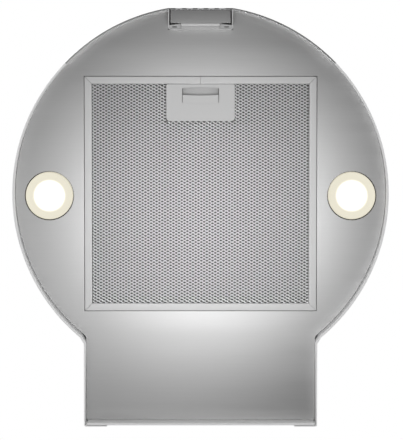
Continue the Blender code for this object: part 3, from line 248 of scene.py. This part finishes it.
def duplicate(piece, name, offset=(0, 0, 0)):
    clear_selection()
    twin = piece.copy()
    twin.data = piece.data.copy()
    twin.name = twin.data.name = name
    bpy.context.scene.collection.objects.link(twin)
    for point in twin.data.vertices:
        point.co += Vector(offset)
    return twin


# ---------------------------------------------------------------- materials
def new_material(name):
    made = bpy.data.materials.new(name)
    made.use_nodes = True
    tree = made.node_tree
    shader = tree.nodes["Principled BSDF"]
    place = add_node(tree, "ShaderNodeTexCoord").outputs["Object"]
    return made, tree, shader, place


def streaks(tree, place, scale, detail=3.0):
    """Noise drawn out along the direction whose scale is small; scales are in lines per metre."""
    stretch = add_node(tree, "ShaderNodeMapping", links={"Vector": place}, Scale=scale)
    return add_node(tree, "ShaderNodeTexNoise", links={"Vector": stretch.outputs["Vector"]},
                    Scale=1.0, Detail=detail, Roughness=0.6).outputs["Fac"]


def spread(tree, fac, low_value, high_value, low_in=0.3, high_in=0.7):
    return add_node(tree, "ShaderNodeMapRange", links={"Value": fac}, From_Min=low_in, From_Max=high_in,
                    To_Min=low_value, To_Max=high_value).outputs["Result"]


def tint(tree, fac, low_hex, high_hex):
    blend = add_node(tree, "ShaderNodeMix", {"data_type": "RGBA"}, {0: fac})
    blend.inputs[6].default_value, blend.inputs[7].default_value = tone(low_hex), tone(high_hex)
    return blend.outputs[2]


def relief(tree, shader, height, distance, strength=1.0):
    bump = add_node(tree, "ShaderNodeBump", links={"Height": height}, Distance=distance, Strength=strength)
    tree.links.new(bump.outputs["Normal"], shader.inputs["Normal"])


def brushed_steel(name, scale, dark="A2A2A1", light="B4B4B3", rough=(0.25, 0.31)):
    """Stainless steel sheet brushed with a fine belt: long thin lines that break the highlight up."""
    made, tree, shader, place = new_material(name)
    lines = streaks(tree, place, scale)
    broad = streaks(tree, place, tuple(value / 14 for value in scale), 1.0)
    tree.links.new(tint(tree, lines, dark, light), shader.inputs["Base Color"])
    grain = add_node(tree, "ShaderNodeMath", {"operation": "ADD"}, {0: lines, 1: broad}).outputs[0]
    tree.links.new(spread(tree, grain, rough[0], rough[1], 0.7, 1.3), shader.inputs["Roughness"])
    relief(tree, shader, lines, 0.000004, 0.5)
    shader.inputs["Metallic"].default_value = 1.0
    return made


def plain_metal(name, low_hex, high_hex, rough, grain=900.0, bump=0.00001, metallic=1.0):
    """Metal with an even, fine-grained surface: a little mottling in tone and in gloss."""
    made, tree, shader, place = new_material(name)
    grains = streaks(tree, place, (grain,) * 3)
    tree.links.new(tint(tree, grains, low_hex, high_hex), shader.inputs["Base Color"])
    tree.links.new(spread(tree, grains, rough[0], rough[1]), shader.inputs["Roughness"])
    relief(tree, shader, grains, bump, 0.6)
    shader.inputs["Metallic"].default_value = metallic
    return made


def moulded(name, low_hex, high_hex, rough, grain=1400.0, bump=0.00002, ior=1.53):
    """Moulded plastic: an even colour with a fine spark-eroded texture that breaks the highlight."""
    made, tree, shader, place = new_material(name)
    grains = streaks(tree, place, (grain,) * 3, 2.0)
    tree.links.new(tint(tree, grains, low_hex, high_hex), shader.inputs["Base Color"])
    tree.links.new(spread(tree, grains, rough[0], rough[1]), shader.inputs["Roughness"])
    relief(tree, shader, grains, bump, 0.6)
    shader.inputs["IOR"].default_value = ior
    return made


def lamp_glass():
    """Frosted glass over a round light module: white in the middle, cream towards the cooler rim."""
    made, tree, shader, place = new_material("frosted lamp glass")
    parts = add_node(tree, "ShaderNodeSeparateXYZ", links={"Vector": place}).outputs
    aside = add_node(tree, "ShaderNodeMath", {"operation": "ABSOLUTE"}, {0: parts["X"]}).outputs[0]
    aside = add_node(tree, "ShaderNodeMath", {"operation": "SUBTRACT"}, {0: aside})
    aside.inputs[1].default_value = LAMP_SPREAD
    along = add_node(tree, "ShaderNodeMath", {"operation": "SUBTRACT"}, {0: parts["Y"]})
    along.inputs[1].default_value = DRUM_Y + 4 * MM
    flat = add_node(tree, "ShaderNodeCombineXYZ", links={"X": aside.outputs[0], "Y": along.outputs[0]})
    reach = add_node(tree, "ShaderNodeVectorMath", {"operation": "LENGTH"}, {0: flat.outputs[0]})
    radius = reach.outputs["Value"]
    glow = add_node(tree, "ShaderNodeMapRange", {"interpolation_type": "SMOOTHSTEP"}, {"Value": radius},
                    From_Min=13.2 * MM, From_Max=18.4 * MM, To_Min=1.0, To_Max=0.0).outputs["Result"]
    tree.links.new(tint(tree, glow, "ECE6D2", "FFFFFF"), shader.inputs["Emission Color"])
    tree.links.new(spread(tree, glow, 0.74, 1.6, 0.0, 1.0), shader.inputs["Emission Strength"])
    cloud = streaks(tree, place, (300.0,) * 3)
    tree.links.new(tint(tree, cloud, "8C8A7E", "969488"), shader.inputs["Base Color"])
    tree.links.new(spread(tree, cloud, 0.35, 0.45), shader.inputs["Roughness"])
    shader.inputs["IOR"].default_value = 1.5
    return made


def lit_module():
    """White moulded light module behind the glass, glowing evenly."""
    made, tree, shader, place = new_material("white light module")
    cloud = streaks(tree, place, (500.0,) * 3)
    tree.links.new(tint(tree, cloud, "F4F1E6", "FFFDF6"), shader.inputs["Base Color"])
    tree.links.new(spread(tree, cloud, 0.45, 0.55), shader.inputs["Roughness"])
    shader.inputs["Emission Color"].default_value = tone("FFF9EC")
    shader.inputs["Emission Strength"].default_value = 3.0
    return made


def solder_mask():
    """Circuit board: green solder mask with a faint grid of copper tracks under it."""
    made, tree, shader, place = new_material("green solder mask")
    tracks = add_node(tree, "ShaderNodeTexBrick", {"offset": 0.5}, {"Vector": place}, Scale=1.0,
                      Mortar_Size=0.0004, Brick_Width=0.009, Row_Height=0.0035)
    tracks.inputs["Color1"].default_value = tone("1F5A34")
    tracks.inputs["Color2"].default_value = tone("1B5230")
    tracks.inputs["Mortar"].default_value = tone("3E7C4C")
    tree.links.new(tracks.outputs["Color"], shader.inputs["Base Color"])
    tree.links.new(spread(tree, tracks.outputs["Fac"], 0.35, 0.5, 0.0, 1.0), shader.inputs["Roughness"])
    return made


# Very fine lines across the panel, which hardly show except close up.
PANEL_STEEL = brushed_steel("stainless steel, brushed across", (14.0, 800.0, 800.0), "ADADAD", "B3B3B3",
                            (0.295, 0.33))
# Upright lines that faintly streak the rolled skins.
SKIN_STEEL = brushed_steel("stainless steel, brushed upright", (500.0, 500.0, 6.0), "B4B4B4", "B8B8B8",
                           (0.27, 0.3))
# Set paler and less metallic than bare steel, so that the rim reads as an even pale band: painted light on
# the hem, the inner walls and the back plates.
RIM_STEEL_PAINTED_LIGHT = plain_metal("stainless steel, satin, painted light", "F0F0F0", "F6F6F6", (0.56, 0.64), 800.0, metallic=0.4)
# Bars of the filter: an even, soft silver sheen.
FRAME_ALUMINIUM = plain_metal("satin anodised aluminium", "CFCFCF", "D9D9D9", (0.42, 0.5), 700.0)
# Pale strands that catch the light against the dark behind them.
MESH_ALUMINIUM = plain_metal("expanded aluminium", "E4E4E4", "EEEEEE", (0.32, 0.44), 500.0)
# Darker and duller, so that the mesh in front of it shows; the darkness is painted shade deep in the layers
# of the filter.
CORE_ALUMINIUM_PAINTED_SHADE = plain_metal("layered aluminium mesh", "5C5C5C", "727272", (0.5, 0.65), 260.0)
# Latch: pale, almost matt.
LATCH_PLASTIC = moulded("light grey ABS", "E0E0E0", "E5E5E5", (0.42, 0.5))
# Blower housing: duller and a little yellower than the latch.
HOUSING_PLASTIC = moulded("light grey polypropylene", "BDBDBB", "C4C4C2", (0.45, 0.55), 1000.0)
# Control tray: a quiet silver beside the steel.
SILVER_PLASTIC = moulded("silver grey ABS", "C6C6C6", "CDCDCD", (0.38, 0.46))
# Dark, soft-edged reflections; it darkens the joint round each lamp.
BLACK_PLASTIC = moulded("black polyamide", "1A1A1B", "222224", (0.42, 0.55))
# Small sharp glints on the buttons.
BUTTON_CHROME = plain_metal("satin chrome", "B8B8BA", "C4C4C6", (0.16, 0.22), 1200.0, 0.000004)
# Cool grey with the faint patches of a zinc coat.
ZINC_STEEL = plain_metal("zinc plated steel", "A2A5AA", "B6B9BC", (0.34, 0.46), 90.0)
# Dark drawn wire.
SPRING_STEEL = plain_metal("drawn spring steel", "6E6E70", "848486", (0.25, 0.35), 1500.0)
# Glowing white middle and cream ring.
LAMP_GLASS = lamp_glass()
# Seen only where the glass is away.
LIGHT_MODULE = lit_module()
# Green boards with faint tracks.
BOARD_GREEN = solder_mask()
# Flexible sheath with a soft sheen.
LEAD_BLACK = moulded("black PVC sheath", "161617", "1E1E20", (0.4, 0.5), 600.0)
# The same sheath in white, to the lamps.
LEAD_WHITE = moulded("white PVC sheath", "D2D2CE", "DCDCD8", (0.4, 0.5), 600.0)


# ---------------------------------------------------------------- skins
def drawn_outline(name, inset, back_inset, level):
    """The open keyhole line of a wrapped skin, in edit mode: drum, neck sides and return flanges."""
    radius = DRUM_RADIUS - inset
    neck = NECK_HALF_WIDTH - inset
    piece = add("circle", name, vertices=CIRCLE_STEPS, radius=radius, location=(0, DRUM_Y, level))
    turn = math.acos((neck + NECK_FILLET / 2) / radius)
    pick("VERT", lambda at, _: at.y - DRUM_Y > radius * math.sin(turn) and abs(at.x) < neck + NECK_FILLET
         or at.y < DRUM_Y and abs(at.x) < NOTCH_HALF - 0.5 * MM)
    bpy.ops.mesh.delete(type="VERT")
    pick("VERT", lambda at, _: at.y < DRUM_Y and abs(at.x) < NOTCH_HALF + 0.5 * MM)
    bpy.ops.mesh.edge_face_add()
    for way in (-1, 1):
        ends = []
        for point in bmesh.from_edit_mesh(piece.data).verts:
            if way * point.co.x > 0 and len(point.link_edges) == 1:
                ends.append(point.co.copy())
        start = max(ends, key=lambda at: at.y)
        pick("VERT", lambda at, _: (at - start).length < 1e-6)
        joint_y = DRUM_Y + math.sqrt(radius ** 2 - neck ** 2) + NECK_FILLET
        back = DRUM_Y + NECK_BACK - back_inset
        corner = Vector((way * neck, joint_y, level))
        extrude(corner - start)
        extrude((0, back - joint_y, 0))
        extrude((way * (NECK_HALF_WIDTH - RETURN_FLANGE - neck), 0, 0))
    pick("VERT", lambda at, _: at.y > DRUM_Y + NECK_BACK - back_inset - MM and abs(at.x) > neck - MM)
    bpy.ops.mesh.bevel(offset=BACK_FOLD, segments=4, affect="VERTICES")
    bpy.ops.mesh.select_all(action="SELECT")
    return piece


def wall_thickness(piece, thickness, heavy=None):
    """Thickens a single sheet inwards; points that pass heavy get all of it, the rest a plain sheet's."""
    close_edit()
    group = piece.vertex_groups.new(name="wall")
    for point in piece.data.vertices:
        group.add([point.index], 1.0 if heavy is None or heavy(point.co) else SHEET / thickness, "REPLACE")
    modify(piece, "SOLIDIFY", thickness=thickness, offset=-1, use_even_offset=True, vertex_group="wall")
    piece.vertex_groups.clear()


def face_out():
    """Turns the faces of the open skin outwards, judged by one at the drum's right side."""
    bpy.ops.mesh.select_all(action="SELECT")
    bpy.ops.mesh.normals_make_consistent(inside=False)
    shape = bmesh.from_edit_mesh(bpy.context.edit_object.data)
    side = max(shape.faces, key=lambda face: face.calc_center_median().x)
    if side.normal.x < 0:
        bpy.ops.mesh.flip_normals()


def make_lower_skin():
    piece = drawn_outline("lower_shell", 0, 0, 0)
    level = 0
    for top in (HEM_HEIGHT, HEM_HEIGHT + 0.2 * MM, NOTCH_TOP, SKIN_TOP):
        extrude((0, 0, top - level))
        level = top
    pick("FACE", lambda at, _: abs(at.x) < MM and at.y < DRUM_Y and at.z < NOTCH_TOP - MM)
    bpy.ops.mesh.delete(type="FACE")
    face_out()
    back = DRUM_Y + NECK_BACK - 3 * MM
    wall_thickness(piece, HEM_THICKNESS, lambda at: at.z < HEM_HEIGHT + 0.1 * MM and at.y < back)
    bpy.ops.object.mode_set(mode="EDIT")
    pick("EDGE", lambda at, along: at.z < 0.05 * MM and abs(along.z) < 0.01 * MM and at.y < back
         and not (abs(at.x) < NOTCH_HALF + 0.1 * MM and abs(along.y) > abs(along.x)))
    bpy.ops.mesh.bevel(offset=HEM_ROUNDING, segments=5, affect="EDGES", clamp_overlap=True)
    pick("EDGE", lambda at, along: at.z > SKIN_TOP - 0.05 * MM and abs(along.z) < 0.01 * MM)
    bpy.ops.mesh.bevel(offset=RIM_ROUNDING, segments=2, affect="EDGES")
    outward()
    close_edit()
    smooth(piece, 30)
    keep(piece, SKIN_STEEL, "hood", "brushed_steel", "lower_skin")
    # Painted light and shade: the hem and inner walls behind the split take the paler steel so that they read
    # as lit, and the front stretch keeps the darker skin steel as painted shade.
    piece.data.materials.append(RIM_STEEL_PAINTED_LIGHT)
    for face in piece.data.polygons:
        at, normal = face.center, face.normal
        inside = at.z < NOTCH_TOP and Vector((at.x, at.y - DRUM_Y, 0)).dot(normal) < 0.02
        underneath = at.z < 1.2 * MM and normal.z < -0.3
        if (inside or underneath) and at.y > PAINTED_LIGHT_SPLIT_Y:
            face.material_index = 1


def make_upper_skin():
    bottom, top = (corner.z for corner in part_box("upper_skin"))
    piece = drawn_outline("upper_shell", SLEEVE_INSET, SLEEVE_BACK_INSET, bottom)
    extrude((0, 0, top - bottom))
    face_out()
    wall_thickness(piece, SHEET)
    bpy.ops.object.mode_set(mode="EDIT")
    pick("EDGE", lambda at, along: abs(along.z) < 0.01 * MM)
    bpy.ops.mesh.bevel(offset=RIM_ROUNDING, segments=2, affect="EDGES")
    outward()
    close_edit()
    smooth(piece, 30)
    keep(piece, SKIN_STEEL, "upper_cover", "brushed_steel", "upper_skin")


# ---------------------------------------------------------------- grease filter
def bolt_cutter(front, back):
    """Cuts the latch bolt's way, from front to back."""
    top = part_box("latch_slider")[1].z
    return add_block("bolt_cutter", (-BOLT_SLOT_HALF, front, top - BOLT_SLOT_BELOW),
                     (BOLT_SLOT_HALF, back, top + BOLT_SLOT_ABOVE))


def make_filter_frame():
    """Five aluminium bars round the mesh, mitred at the corners and butted in the middle of the front."""
    low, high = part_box("filter_frame")
    middle = (low + high) / 2
    piece = add("plane", "filter_rim", size=1, location=(middle.x, middle.y, low.z),
                scale=(high.x - low.x, high.y - low.y, 1))
    bpy.ops.mesh.inset(thickness=FRAME_BORDER)
    bpy.ops.mesh.delete(type="FACE")
    pick("FACE", lambda at, _: at.y < low.y + FRAME_BORDER)
    bpy.ops.mesh.bisect(plane_co=(0, 0, 0), plane_no=(1, 0, 0))
    bpy.ops.mesh.select_mode(type="FACE")
    bpy.ops.mesh.select_all(action="SELECT")
    bpy.ops.mesh.edge_split(type="EDGE")
    bpy.ops.mesh.inset(thickness=MITRE_GAP, use_individual=True)
    bpy.ops.mesh.select_all(action="INVERT")
    bpy.ops.mesh.delete(type="FACE")
    bpy.ops.mesh.select_all(action="SELECT")
    extrude((0, 0, high.z - low.z))
    outward()
    close_edit()
    rounded(piece, 0.22 * MM, 2)
    cutter = bolt_cutter(low.y - MM, low.y + FRAME_BORDER + MM)
    outward()
    cut(piece, cutter)
    smooth(piece, 40)
    keep(piece, FRAME_ALUMINIUM, "filter", "filter_aluminium", "filter_frame")


def make_meshes():
    """Expanded aluminium: staggered diamonds whose strands stand twisted out of the sheet."""
    low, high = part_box("filter_mesh_lower")
    latch_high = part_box("latch_plate")[1]
    columns = math.ceil((high.x - low.x) / MESH_LONG) + 1
    rows = math.ceil((high.y - low.y) / MESH_SHORT) + 1
    level = (low.z + high.z) / 2
    piece = add("circle", "expanded_mesh_lower", vertices=4, radius=1, fill_type="NGON",
                location=(low.x, low.y, level), scale=(MESH_LONG / 2, MESH_SHORT / 2, 1))
    outward()
    bpy.ops.mesh.inset(thickness=STRAND)
    bpy.ops.mesh.delete(type="FACE")
    inner = MESH_SHORT / 2 - 0.1 * MM
    pick("VERT", lambda at, _: abs(at.x - low.x) < MM / 2 and 0 < at.y - low.y < inner)
    move((0, 0, STRAND_RISE))
    pick("VERT", lambda at, _: abs(at.x - low.x) < MM / 2 and 0 < low.y - at.y < inner)
    move((0, 0, -STRAND_RISE))
    close_edit()
    modify(piece, "ARRAY", count=2, use_relative_offset=False, use_constant_offset=True,
           constant_offset_displace=(MESH_LONG / 2, MESH_SHORT / 2, 0), use_merge_vertices=True,
           merge_threshold=0.00001)
    for count, step in ((columns, (MESH_LONG, 0, 0)), (rows, (0, MESH_SHORT, 0))):
        modify(piece, "ARRAY", count=count, use_relative_offset=False, use_constant_offset=True,
               constant_offset_displace=step, use_merge_vertices=True, merge_threshold=0.00001)
    bpy.ops.object.mode_set(mode="EDIT")
    bpy.ops.mesh.select_mode(type="FACE")
    edge = 0.2 * MM
    for corner, way in ((low, 1), (high, -1)):
        for axis in ((1, 0, 0), (0, 1, 0)):
            bpy.ops.mesh.select_all(action="SELECT")
            bpy.ops.mesh.bisect(plane_co=corner, plane_no=Vector(axis) * way, clear_inner=True)
    for side in (-1, 1):
        bpy.ops.mesh.select_all(action="SELECT")
        bpy.ops.mesh.bisect(plane_co=(side * (latch_high.x + edge), 0, 0), plane_no=(1, 0, 0))
    bpy.ops.mesh.select_all(action="SELECT")
    bpy.ops.mesh.bisect(plane_co=(0, latch_high.y + edge, 0), plane_no=(0, 1, 0))
    pick("FACE", lambda at, _: abs(at.x) < latch_high.x + edge and at.y < latch_high.y + edge)
    bpy.ops.mesh.delete(type="FACE")
    close_edit()
    modify(piece, "SOLIDIFY", thickness=STRAND_SHEET, offset=0)
    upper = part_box("filter_mesh_upper")
    twin = duplicate(piece, "expanded_mesh_upper", (0, 0, (upper[0].z + upper[1].z) / 2 - level))
    keep(piece, MESH_ALUMINIUM, "filter", "filter_aluminium", "filter_mesh_lower")
    keep(twin, MESH_ALUMINIUM, "filter", "filter_aluminium", "filter_mesh_upper")


# ---------------------------------------------------------------- latch
PULL_HALF, PULL_START, PULL_REACH = 19.65 * MM, 3.0 * MM, 16.5 * MM


def bow(test, amount):
    """Bows an edge: every picked point moves in Y, most in the middle and not at all at the ends."""
    mesh = bpy.context.edit_object.data
    shape = bmesh.from_edit_mesh(mesh)
    for point in shape.verts:
        if test(point.co):
            point.co.y += amount * (1 - min(abs(point.co.x) / PULL_HALF, 1) ** 2)
    bmesh.update_edit_mesh(mesh)


def make_latch():
    low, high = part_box("latch_plate")
    slider_low, slider_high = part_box("latch_slider")
    piece = add_block("latch_cover", low, high)
    pick("EDGE", lambda at, along: abs(along.z) > 5 * MM and at.y > (low.y + high.y) / 2)
    bpy.ops.mesh.bevel(offset=3.6 * MM, segments=5, affect="EDGES")
    pick("EDGE", lambda at, along: abs(along.z) > 5 * MM and at.y < (low.y + high.y) / 2)
    bpy.ops.mesh.bevel(offset=1.2 * MM, segments=3, affect="EDGES")
    pick("FACE", lambda at, normal: normal.z > 0.9)
    bpy.ops.mesh.inset(thickness=1.5 * MM)
    extrude((0, 0, low.z + 1.5 * MM - high.z))
    outward()
    close_edit()
    cutter = add_block("pull_cutter", (-PULL_HALF, low.y + PULL_START + 1.2 * MM, low.z - MM),
                       (PULL_HALF, low.y + PULL_START + PULL_REACH, low.z + 3 * MM))
    outward()
    pick("EDGE", lambda at, along: abs(along.x) > MM)
    bpy.ops.mesh.subdivide(number_cuts=9)
    bow(lambda at: at.y < low.y + PULL_START + 2 * MM, -1.2 * MM)
    cut(piece, cutter)
    cutter = bolt_cutter(low.y - MM, low.y + 4 * MM)
    outward()
    cut(piece, cutter)
    rounded(piece, 0.3 * MM, 2)
    smooth(piece, 40)
    keep(piece, LATCH_PLASTIC, "filter", "grey_plastic", "latch_plate")

    stem_front = low.y + PULL_START + 9 * MM
    half = PULL_HALF - 0.5 * MM
    piece = add_block("latch_pull", (-half, stem_front - 0.7 * MM, slider_low.z),
                      (half, stem_front + 7.3 * MM, low.z - 0.3 * MM))
    outward()
    pick("EDGE", lambda at, along: abs(along.x) > MM)
    bpy.ops.mesh.subdivide(number_cuts=11)
    bow(lambda at: at.y < stem_front, 0.8 * MM)
    bow(lambda at: at.y > stem_front + 5 * MM, 1.2 * MM)
    close_edit()
    stem = add_block("stem", (-half, stem_front + 0.2 * MM, slider_low.z + 0.2 * MM),
                     (half, stem_front + 1.5 * MM, slider_high.z))
    outward()
    cut(piece, stem, "UNION")
    shelf = add_block("shelf", (-half, low.y + 1.8 * MM, slider_high.z - 1.8 * MM),
                      (half, stem_front + 1.5 * MM, slider_high.z))
    outward()
    cut(piece, shelf, "UNION")
    bolt = add_block("bolt", (-10 * MM, slider_low.y, slider_high.z - 1.8 * MM),
                     (10 * MM, stem_front + MM, slider_high.z))
    outward()
    cut(piece, bolt, "UNION")
    rounded(piece, 0.25 * MM, 2)
    smooth(piece, 40)
    keep(piece, LATCH_PLASTIC, "filter_latch", "grey_plastic", "latch_slider")


# ---------------------------------------------------------------- lamps
def make_lamps():
    """A shallow frosted glass cup with a rounded edge in each lamp hole."""
    for side in ("left", "right"):
        low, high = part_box(f"lamp_lens_{side}")
        middle = (low + high) / 2
        radius = (high.x - low.x) / 2 - LAMP_GAP
        piece = add("cylinder", f"lamp_glass_{side}", vertices=96, radius=radius, depth=high.z - low.z,
                    location=middle, end_fill_type="NGON")
        pick("FACE", lambda at, normal: normal.z > 0.9)
        bpy.ops.mesh.inset(thickness=2 * MM)
        extrude((0, 0, low.z + 2.2 * MM - high.z))
        pick("EDGE", lambda at, along: at.z < low.z + 0.01 * MM)
        bpy.ops.mesh.bevel(offset=0.9 * MM, segments=4, affect="EDGES")
        pick("FACE", lambda at, normal: normal.z < -0.99 and at.z < low.z + 0.01 * MM)
        bpy.ops.mesh.inset(thickness=6.5 * MM)
        move((0, 0, 0.5 * MM))
        outward()
        close_edit()
        smooth(piece, 40)
        keep(piece, LAMP_GLASS, "hood", "lamp_glass", f"lamp_lens_{side}")


# ---------------------------------------------------------------- controls
def make_controls():
    low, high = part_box("control_housing")
    piece = add_block("control_tray", low, high)
    pick("EDGE", lambda at, along: abs(along.z) > 5 * MM and at.y > (low.y + high.y) / 2)
    bpy.ops.mesh.bevel(offset=3 * MM, segments=5, affect="EDGES")
    close_edit()
    wall = 1.2 * MM
    cutter = add_block("tray_cutter", (low.x + wall, low.y - MM, low.z - MM),
                       (high.x - wall, high.y - wall, high.z - wall))
    pick("EDGE", lambda at, along: abs(along.z) > 5 * MM and at.y > (low.y + high.y) / 2)
    bpy.ops.mesh.bevel(offset=2 * MM, segments=4, affect="EDGES")
    outward()
    cut(piece, cutter)
    fold = low.y + TONGUE_DEPTH
    for way in (-1, 1):
        inner, outer = LIP_HALF + 0.2 * MM, high.x - wall / 2
        left, right = sorted((way * inner, way * outer))
        shelf = add_block("corner_shelf", (left, fold + 0.6 * MM, low.z + 1.6 * MM),
                          (right, high.y - wall / 2, low.z + 2.6 * MM))
        pick("VERT", lambda at, _: at.y < fold + MM and abs(at.x) > 30 * MM)
        move((0, 1.3 * MM, 0))
        outward()
        cut(piece, shelf, "UNION")
        slot = add_block("slot_cutter", (way * 27.5 * MM - 2.4 * MM, high.y - 3.6 * MM, low.z),
                         (way * 27.5 * MM + 2.4 * MM, high.y - 2.5 * MM, low.z + 6 * MM))
        outward()
        cut(piece, slot)
    rounded(piece, 0.3 * MM, 2)
    smooth(piece, 40)
    keep(piece, SILVER_PLASTIC, "hood", "silver_plastic", "control_housing")


def make_tongue():
    """The fascia: one sheet with a rounded lower edge, a flat underside and a stepped lip behind it."""
    low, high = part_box("control_fascia")
    fold = low.y + TONGUE_DEPTH
    tiny = 0.05 * MM
    piece = add("plane", "control_tongue", size=1, rotation=(math.radians(90), 0, 0),
                location=(0, low.y, (low.z + high.z) / 2), scale=(high.x - low.x, high.z - low.z, 1))
    pick("EDGE", lambda at, _: at.z < low.z + tiny)
    extrude((0, fold - low.y, 0))
    for side in (-1, 1):
        bpy.ops.mesh.select_all(action="SELECT")
        bpy.ops.mesh.bisect(plane_co=(side * LIP_HALF, 0, 0), plane_no=(1, 0, 0))
    pick("EDGE", lambda at, _: at.y > fold - tiny and abs(at.x) < MM)
    extrude((0, 2.4 * MM, 0.14 * MM))
    extrude((0, 3.2 * MM, 0.05 * MM))
    pick("VERT", lambda at, _: abs(at.y - fold) < tiny and abs(at.x) > LIP_HALF + MM)
    move((0, -0.6 * MM, 0))
    pick("EDGE", lambda at, along: at.y < low.y + tiny and at.z < low.z + tiny)
    bpy.ops.mesh.bevel(offset=1.2 * MM, segments=4, affect="EDGES")
    pick("EDGE", lambda at, along: at.y > fold + 2 * MM and at.y < fold + 3 * MM and abs(along.x) > MM)
    bpy.ops.mesh.bevel(offset=0.5 * MM, segments=3, affect="EDGES")
    bpy.ops.mesh.select_all(action="SELECT")
    bpy.ops.mesh.normals_make_consistent(inside=False)
    shape = bmesh.from_edit_mesh(piece.data)
    if max(shape.faces, key=lambda face: face.calc_center_median().z).normal.y > 0:
        bpy.ops.mesh.flip_normals()
    close_edit()
    modify(piece, "SOLIDIFY", thickness=SHEET, offset=-1, use_even_offset=True)
    for index in range(1, 6):
        button_low, button_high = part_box(f"button_{index}")
        middle = (button_low + button_high) / 2
        cutter = add("cylinder", "hole_cutter", vertices=32, radius=BUTTON_HOLE_RADIUS, depth=6 * MM,
                     rotation=(math.radians(90), 0, 0), location=(middle.x, low.y, middle.z))
        outward()
        cut(piece, cutter)
    rounded(piece, 0.12 * MM, 2)
    smooth(piece, 30)
    keep(piece, PANEL_STEEL, "hood", "brushed_steel", "control_fascia")


def finish_cad_nodes():
    """Materials for the CAD nodes that show as they are, by the record's slots."""
    by_material = {
        PANEL_STEEL: ["bottom_panel", "filter_hook_left", "filter_hook_right"],
        # The back plates take the rim's pale steel too: painted light.
        RIM_STEEL_PAINTED_LIGHT: ["lower_back_plate", "upper_back_plate"],
        # The core is darkened: painted shade inside the filter.
        CORE_ALUMINIUM_PAINTED_SHADE: ["filter_core"],
        HOUSING_PLASTIC: ["scroll_left", "scroll_right", "outlet_collar", "damper_flap_front",
                          "damper_flap_rear", "cable_gland", "capacitor"],
        BLACK_PLASTIC: ["lamp_housing_left", "lamp_housing_right", "impeller", "electronics_box",
                        "electronics_lid"],
        BUTTON_CHROME: [f"button_{index}" for index in range(1, 6)],
        ZINC_STEEL: ["ceiling_plate", "post_brace", "blower_plate", "motor", "motor_bracket", "motor_shaft",
                     "damper_pin"] + [f"{part}_post_{end}_{side}" for part in ("lower", "upper")
                                      for end in ("front", "rear") for side in ("left", "right")],
        SPRING_STEEL: ["latch_spring"],
        LIGHT_MODULE: ["lamp_led_left", "lamp_led_right"],
        BOARD_GREEN: ["switch_board", "control_board"],
        LEAD_BLACK: ["control_lead", "motor_lead"],
        LEAD_WHITE: ["lamp_lead_left", "lamp_lead_right"],
    }
    for material, names in by_material.items():
        for name in names:
            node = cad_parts[name]
            for slot in node.material_slots:
                slot.material = material
            if not node.material_slots:
                node.data.materials.append(material)


# ---------------------------------------------------------------- studio
def make_studio():
    clear_selection()
    floor = add("plane", "floor", size=FLOOR_SIZE, location=(0, 0, FLOOR_LEVEL))
    close_edit()
    made, tree, shader, place = new_material("pale matt floor")
    cloud = streaks(tree, place, (0.6,) * 3, 1.0)
    tree.links.new(tint(tree, cloud, "D8D8D8", "E0E0E0"), shader.inputs["Base Color"])
    shader.inputs["Roughness"].default_value = 0.8
    floor.data.materials.append(made)
    floor.visible_glossy = False

    world = bpy.data.worlds.new("studio")
    bpy.context.scene.world = world
    world.use_nodes = True
    tree = world.node_tree
    shade = tree.nodes["Background"]
    way = add_node(tree, "ShaderNodeTexCoord").outputs["Generated"]
    parts = add_node(tree, "ShaderNodeSeparateXYZ", links={"Vector": way}).outputs
    rise = add_node(tree, "ShaderNodeMapRange", links={"Value": parts["Z"]}, From_Min=0.0, From_Max=0.35,
                    To_Min=0.0, To_Max=1.0).outputs["Result"]
    horizon = add_node(tree, "ShaderNodeMapRange", links={"Value": parts["Y"]}, From_Min=0.0, From_Max=0.7,
                       To_Min=1.15, To_Max=0.75).outputs["Result"]
    height = add_node(tree, "ShaderNodeMapRange", {"interpolation_type": "SMOOTHSTEP"}, {"Value": parts["Z"]},
                      From_Min=-0.9, From_Max=-0.1, To_Min=0.0, To_Max=1.0).outputs["Result"]
    below = add_node(tree, "ShaderNodeMix", {"data_type": "FLOAT"}, {0: height, 3: horizon})
    below.inputs[2].default_value = 0.02
    depth = below.outputs[0]
    glow = add_node(tree, "ShaderNodeMix", {"data_type": "FLOAT"}, {0: rise, 2: depth})
    glow.inputs[3].default_value = 0.55
    seen = add_node(tree, "ShaderNodeLightPath").outputs["Is Camera Ray"]
    level = add_node(tree, "ShaderNodeMix", {"data_type": "FLOAT"}, {0: seen, 2: glow.outputs[0]})
    level.inputs[3].default_value = 1.0
    shade.inputs["Color"].default_value = (1, 1, 1, 1)
    tree.links.new(level.outputs[0], shade.inputs["Strength"])

    add_light("round softbox below", (0.01, 0.055, -0.8), (0, 0, 0), 0.24, 0.24, 1.3)
    add_light("broad softbox below", (-0.2, 0.2, -0.9), (0, 0, 0), 0.6, 0.6, 0.42)
    add_light("side softbox", (-2.6, -2.2, 1.2), (0, 0, 0.4), 1.6, 1.6, 60)
    add_light("fill softbox", (2.8, -1.2, 0.8), (0, 0, 0.4), 1.6, 1.6, 30)


bpy.context.scene.view_settings.view_transform = "Standard"
place_camera()
make_lower_skin()
make_upper_skin()
make_filter_frame()
make_meshes()
make_latch()
make_lamps()
make_controls()
make_tongue()
finish_cad_nodes()
make_studio()
clear_selection()
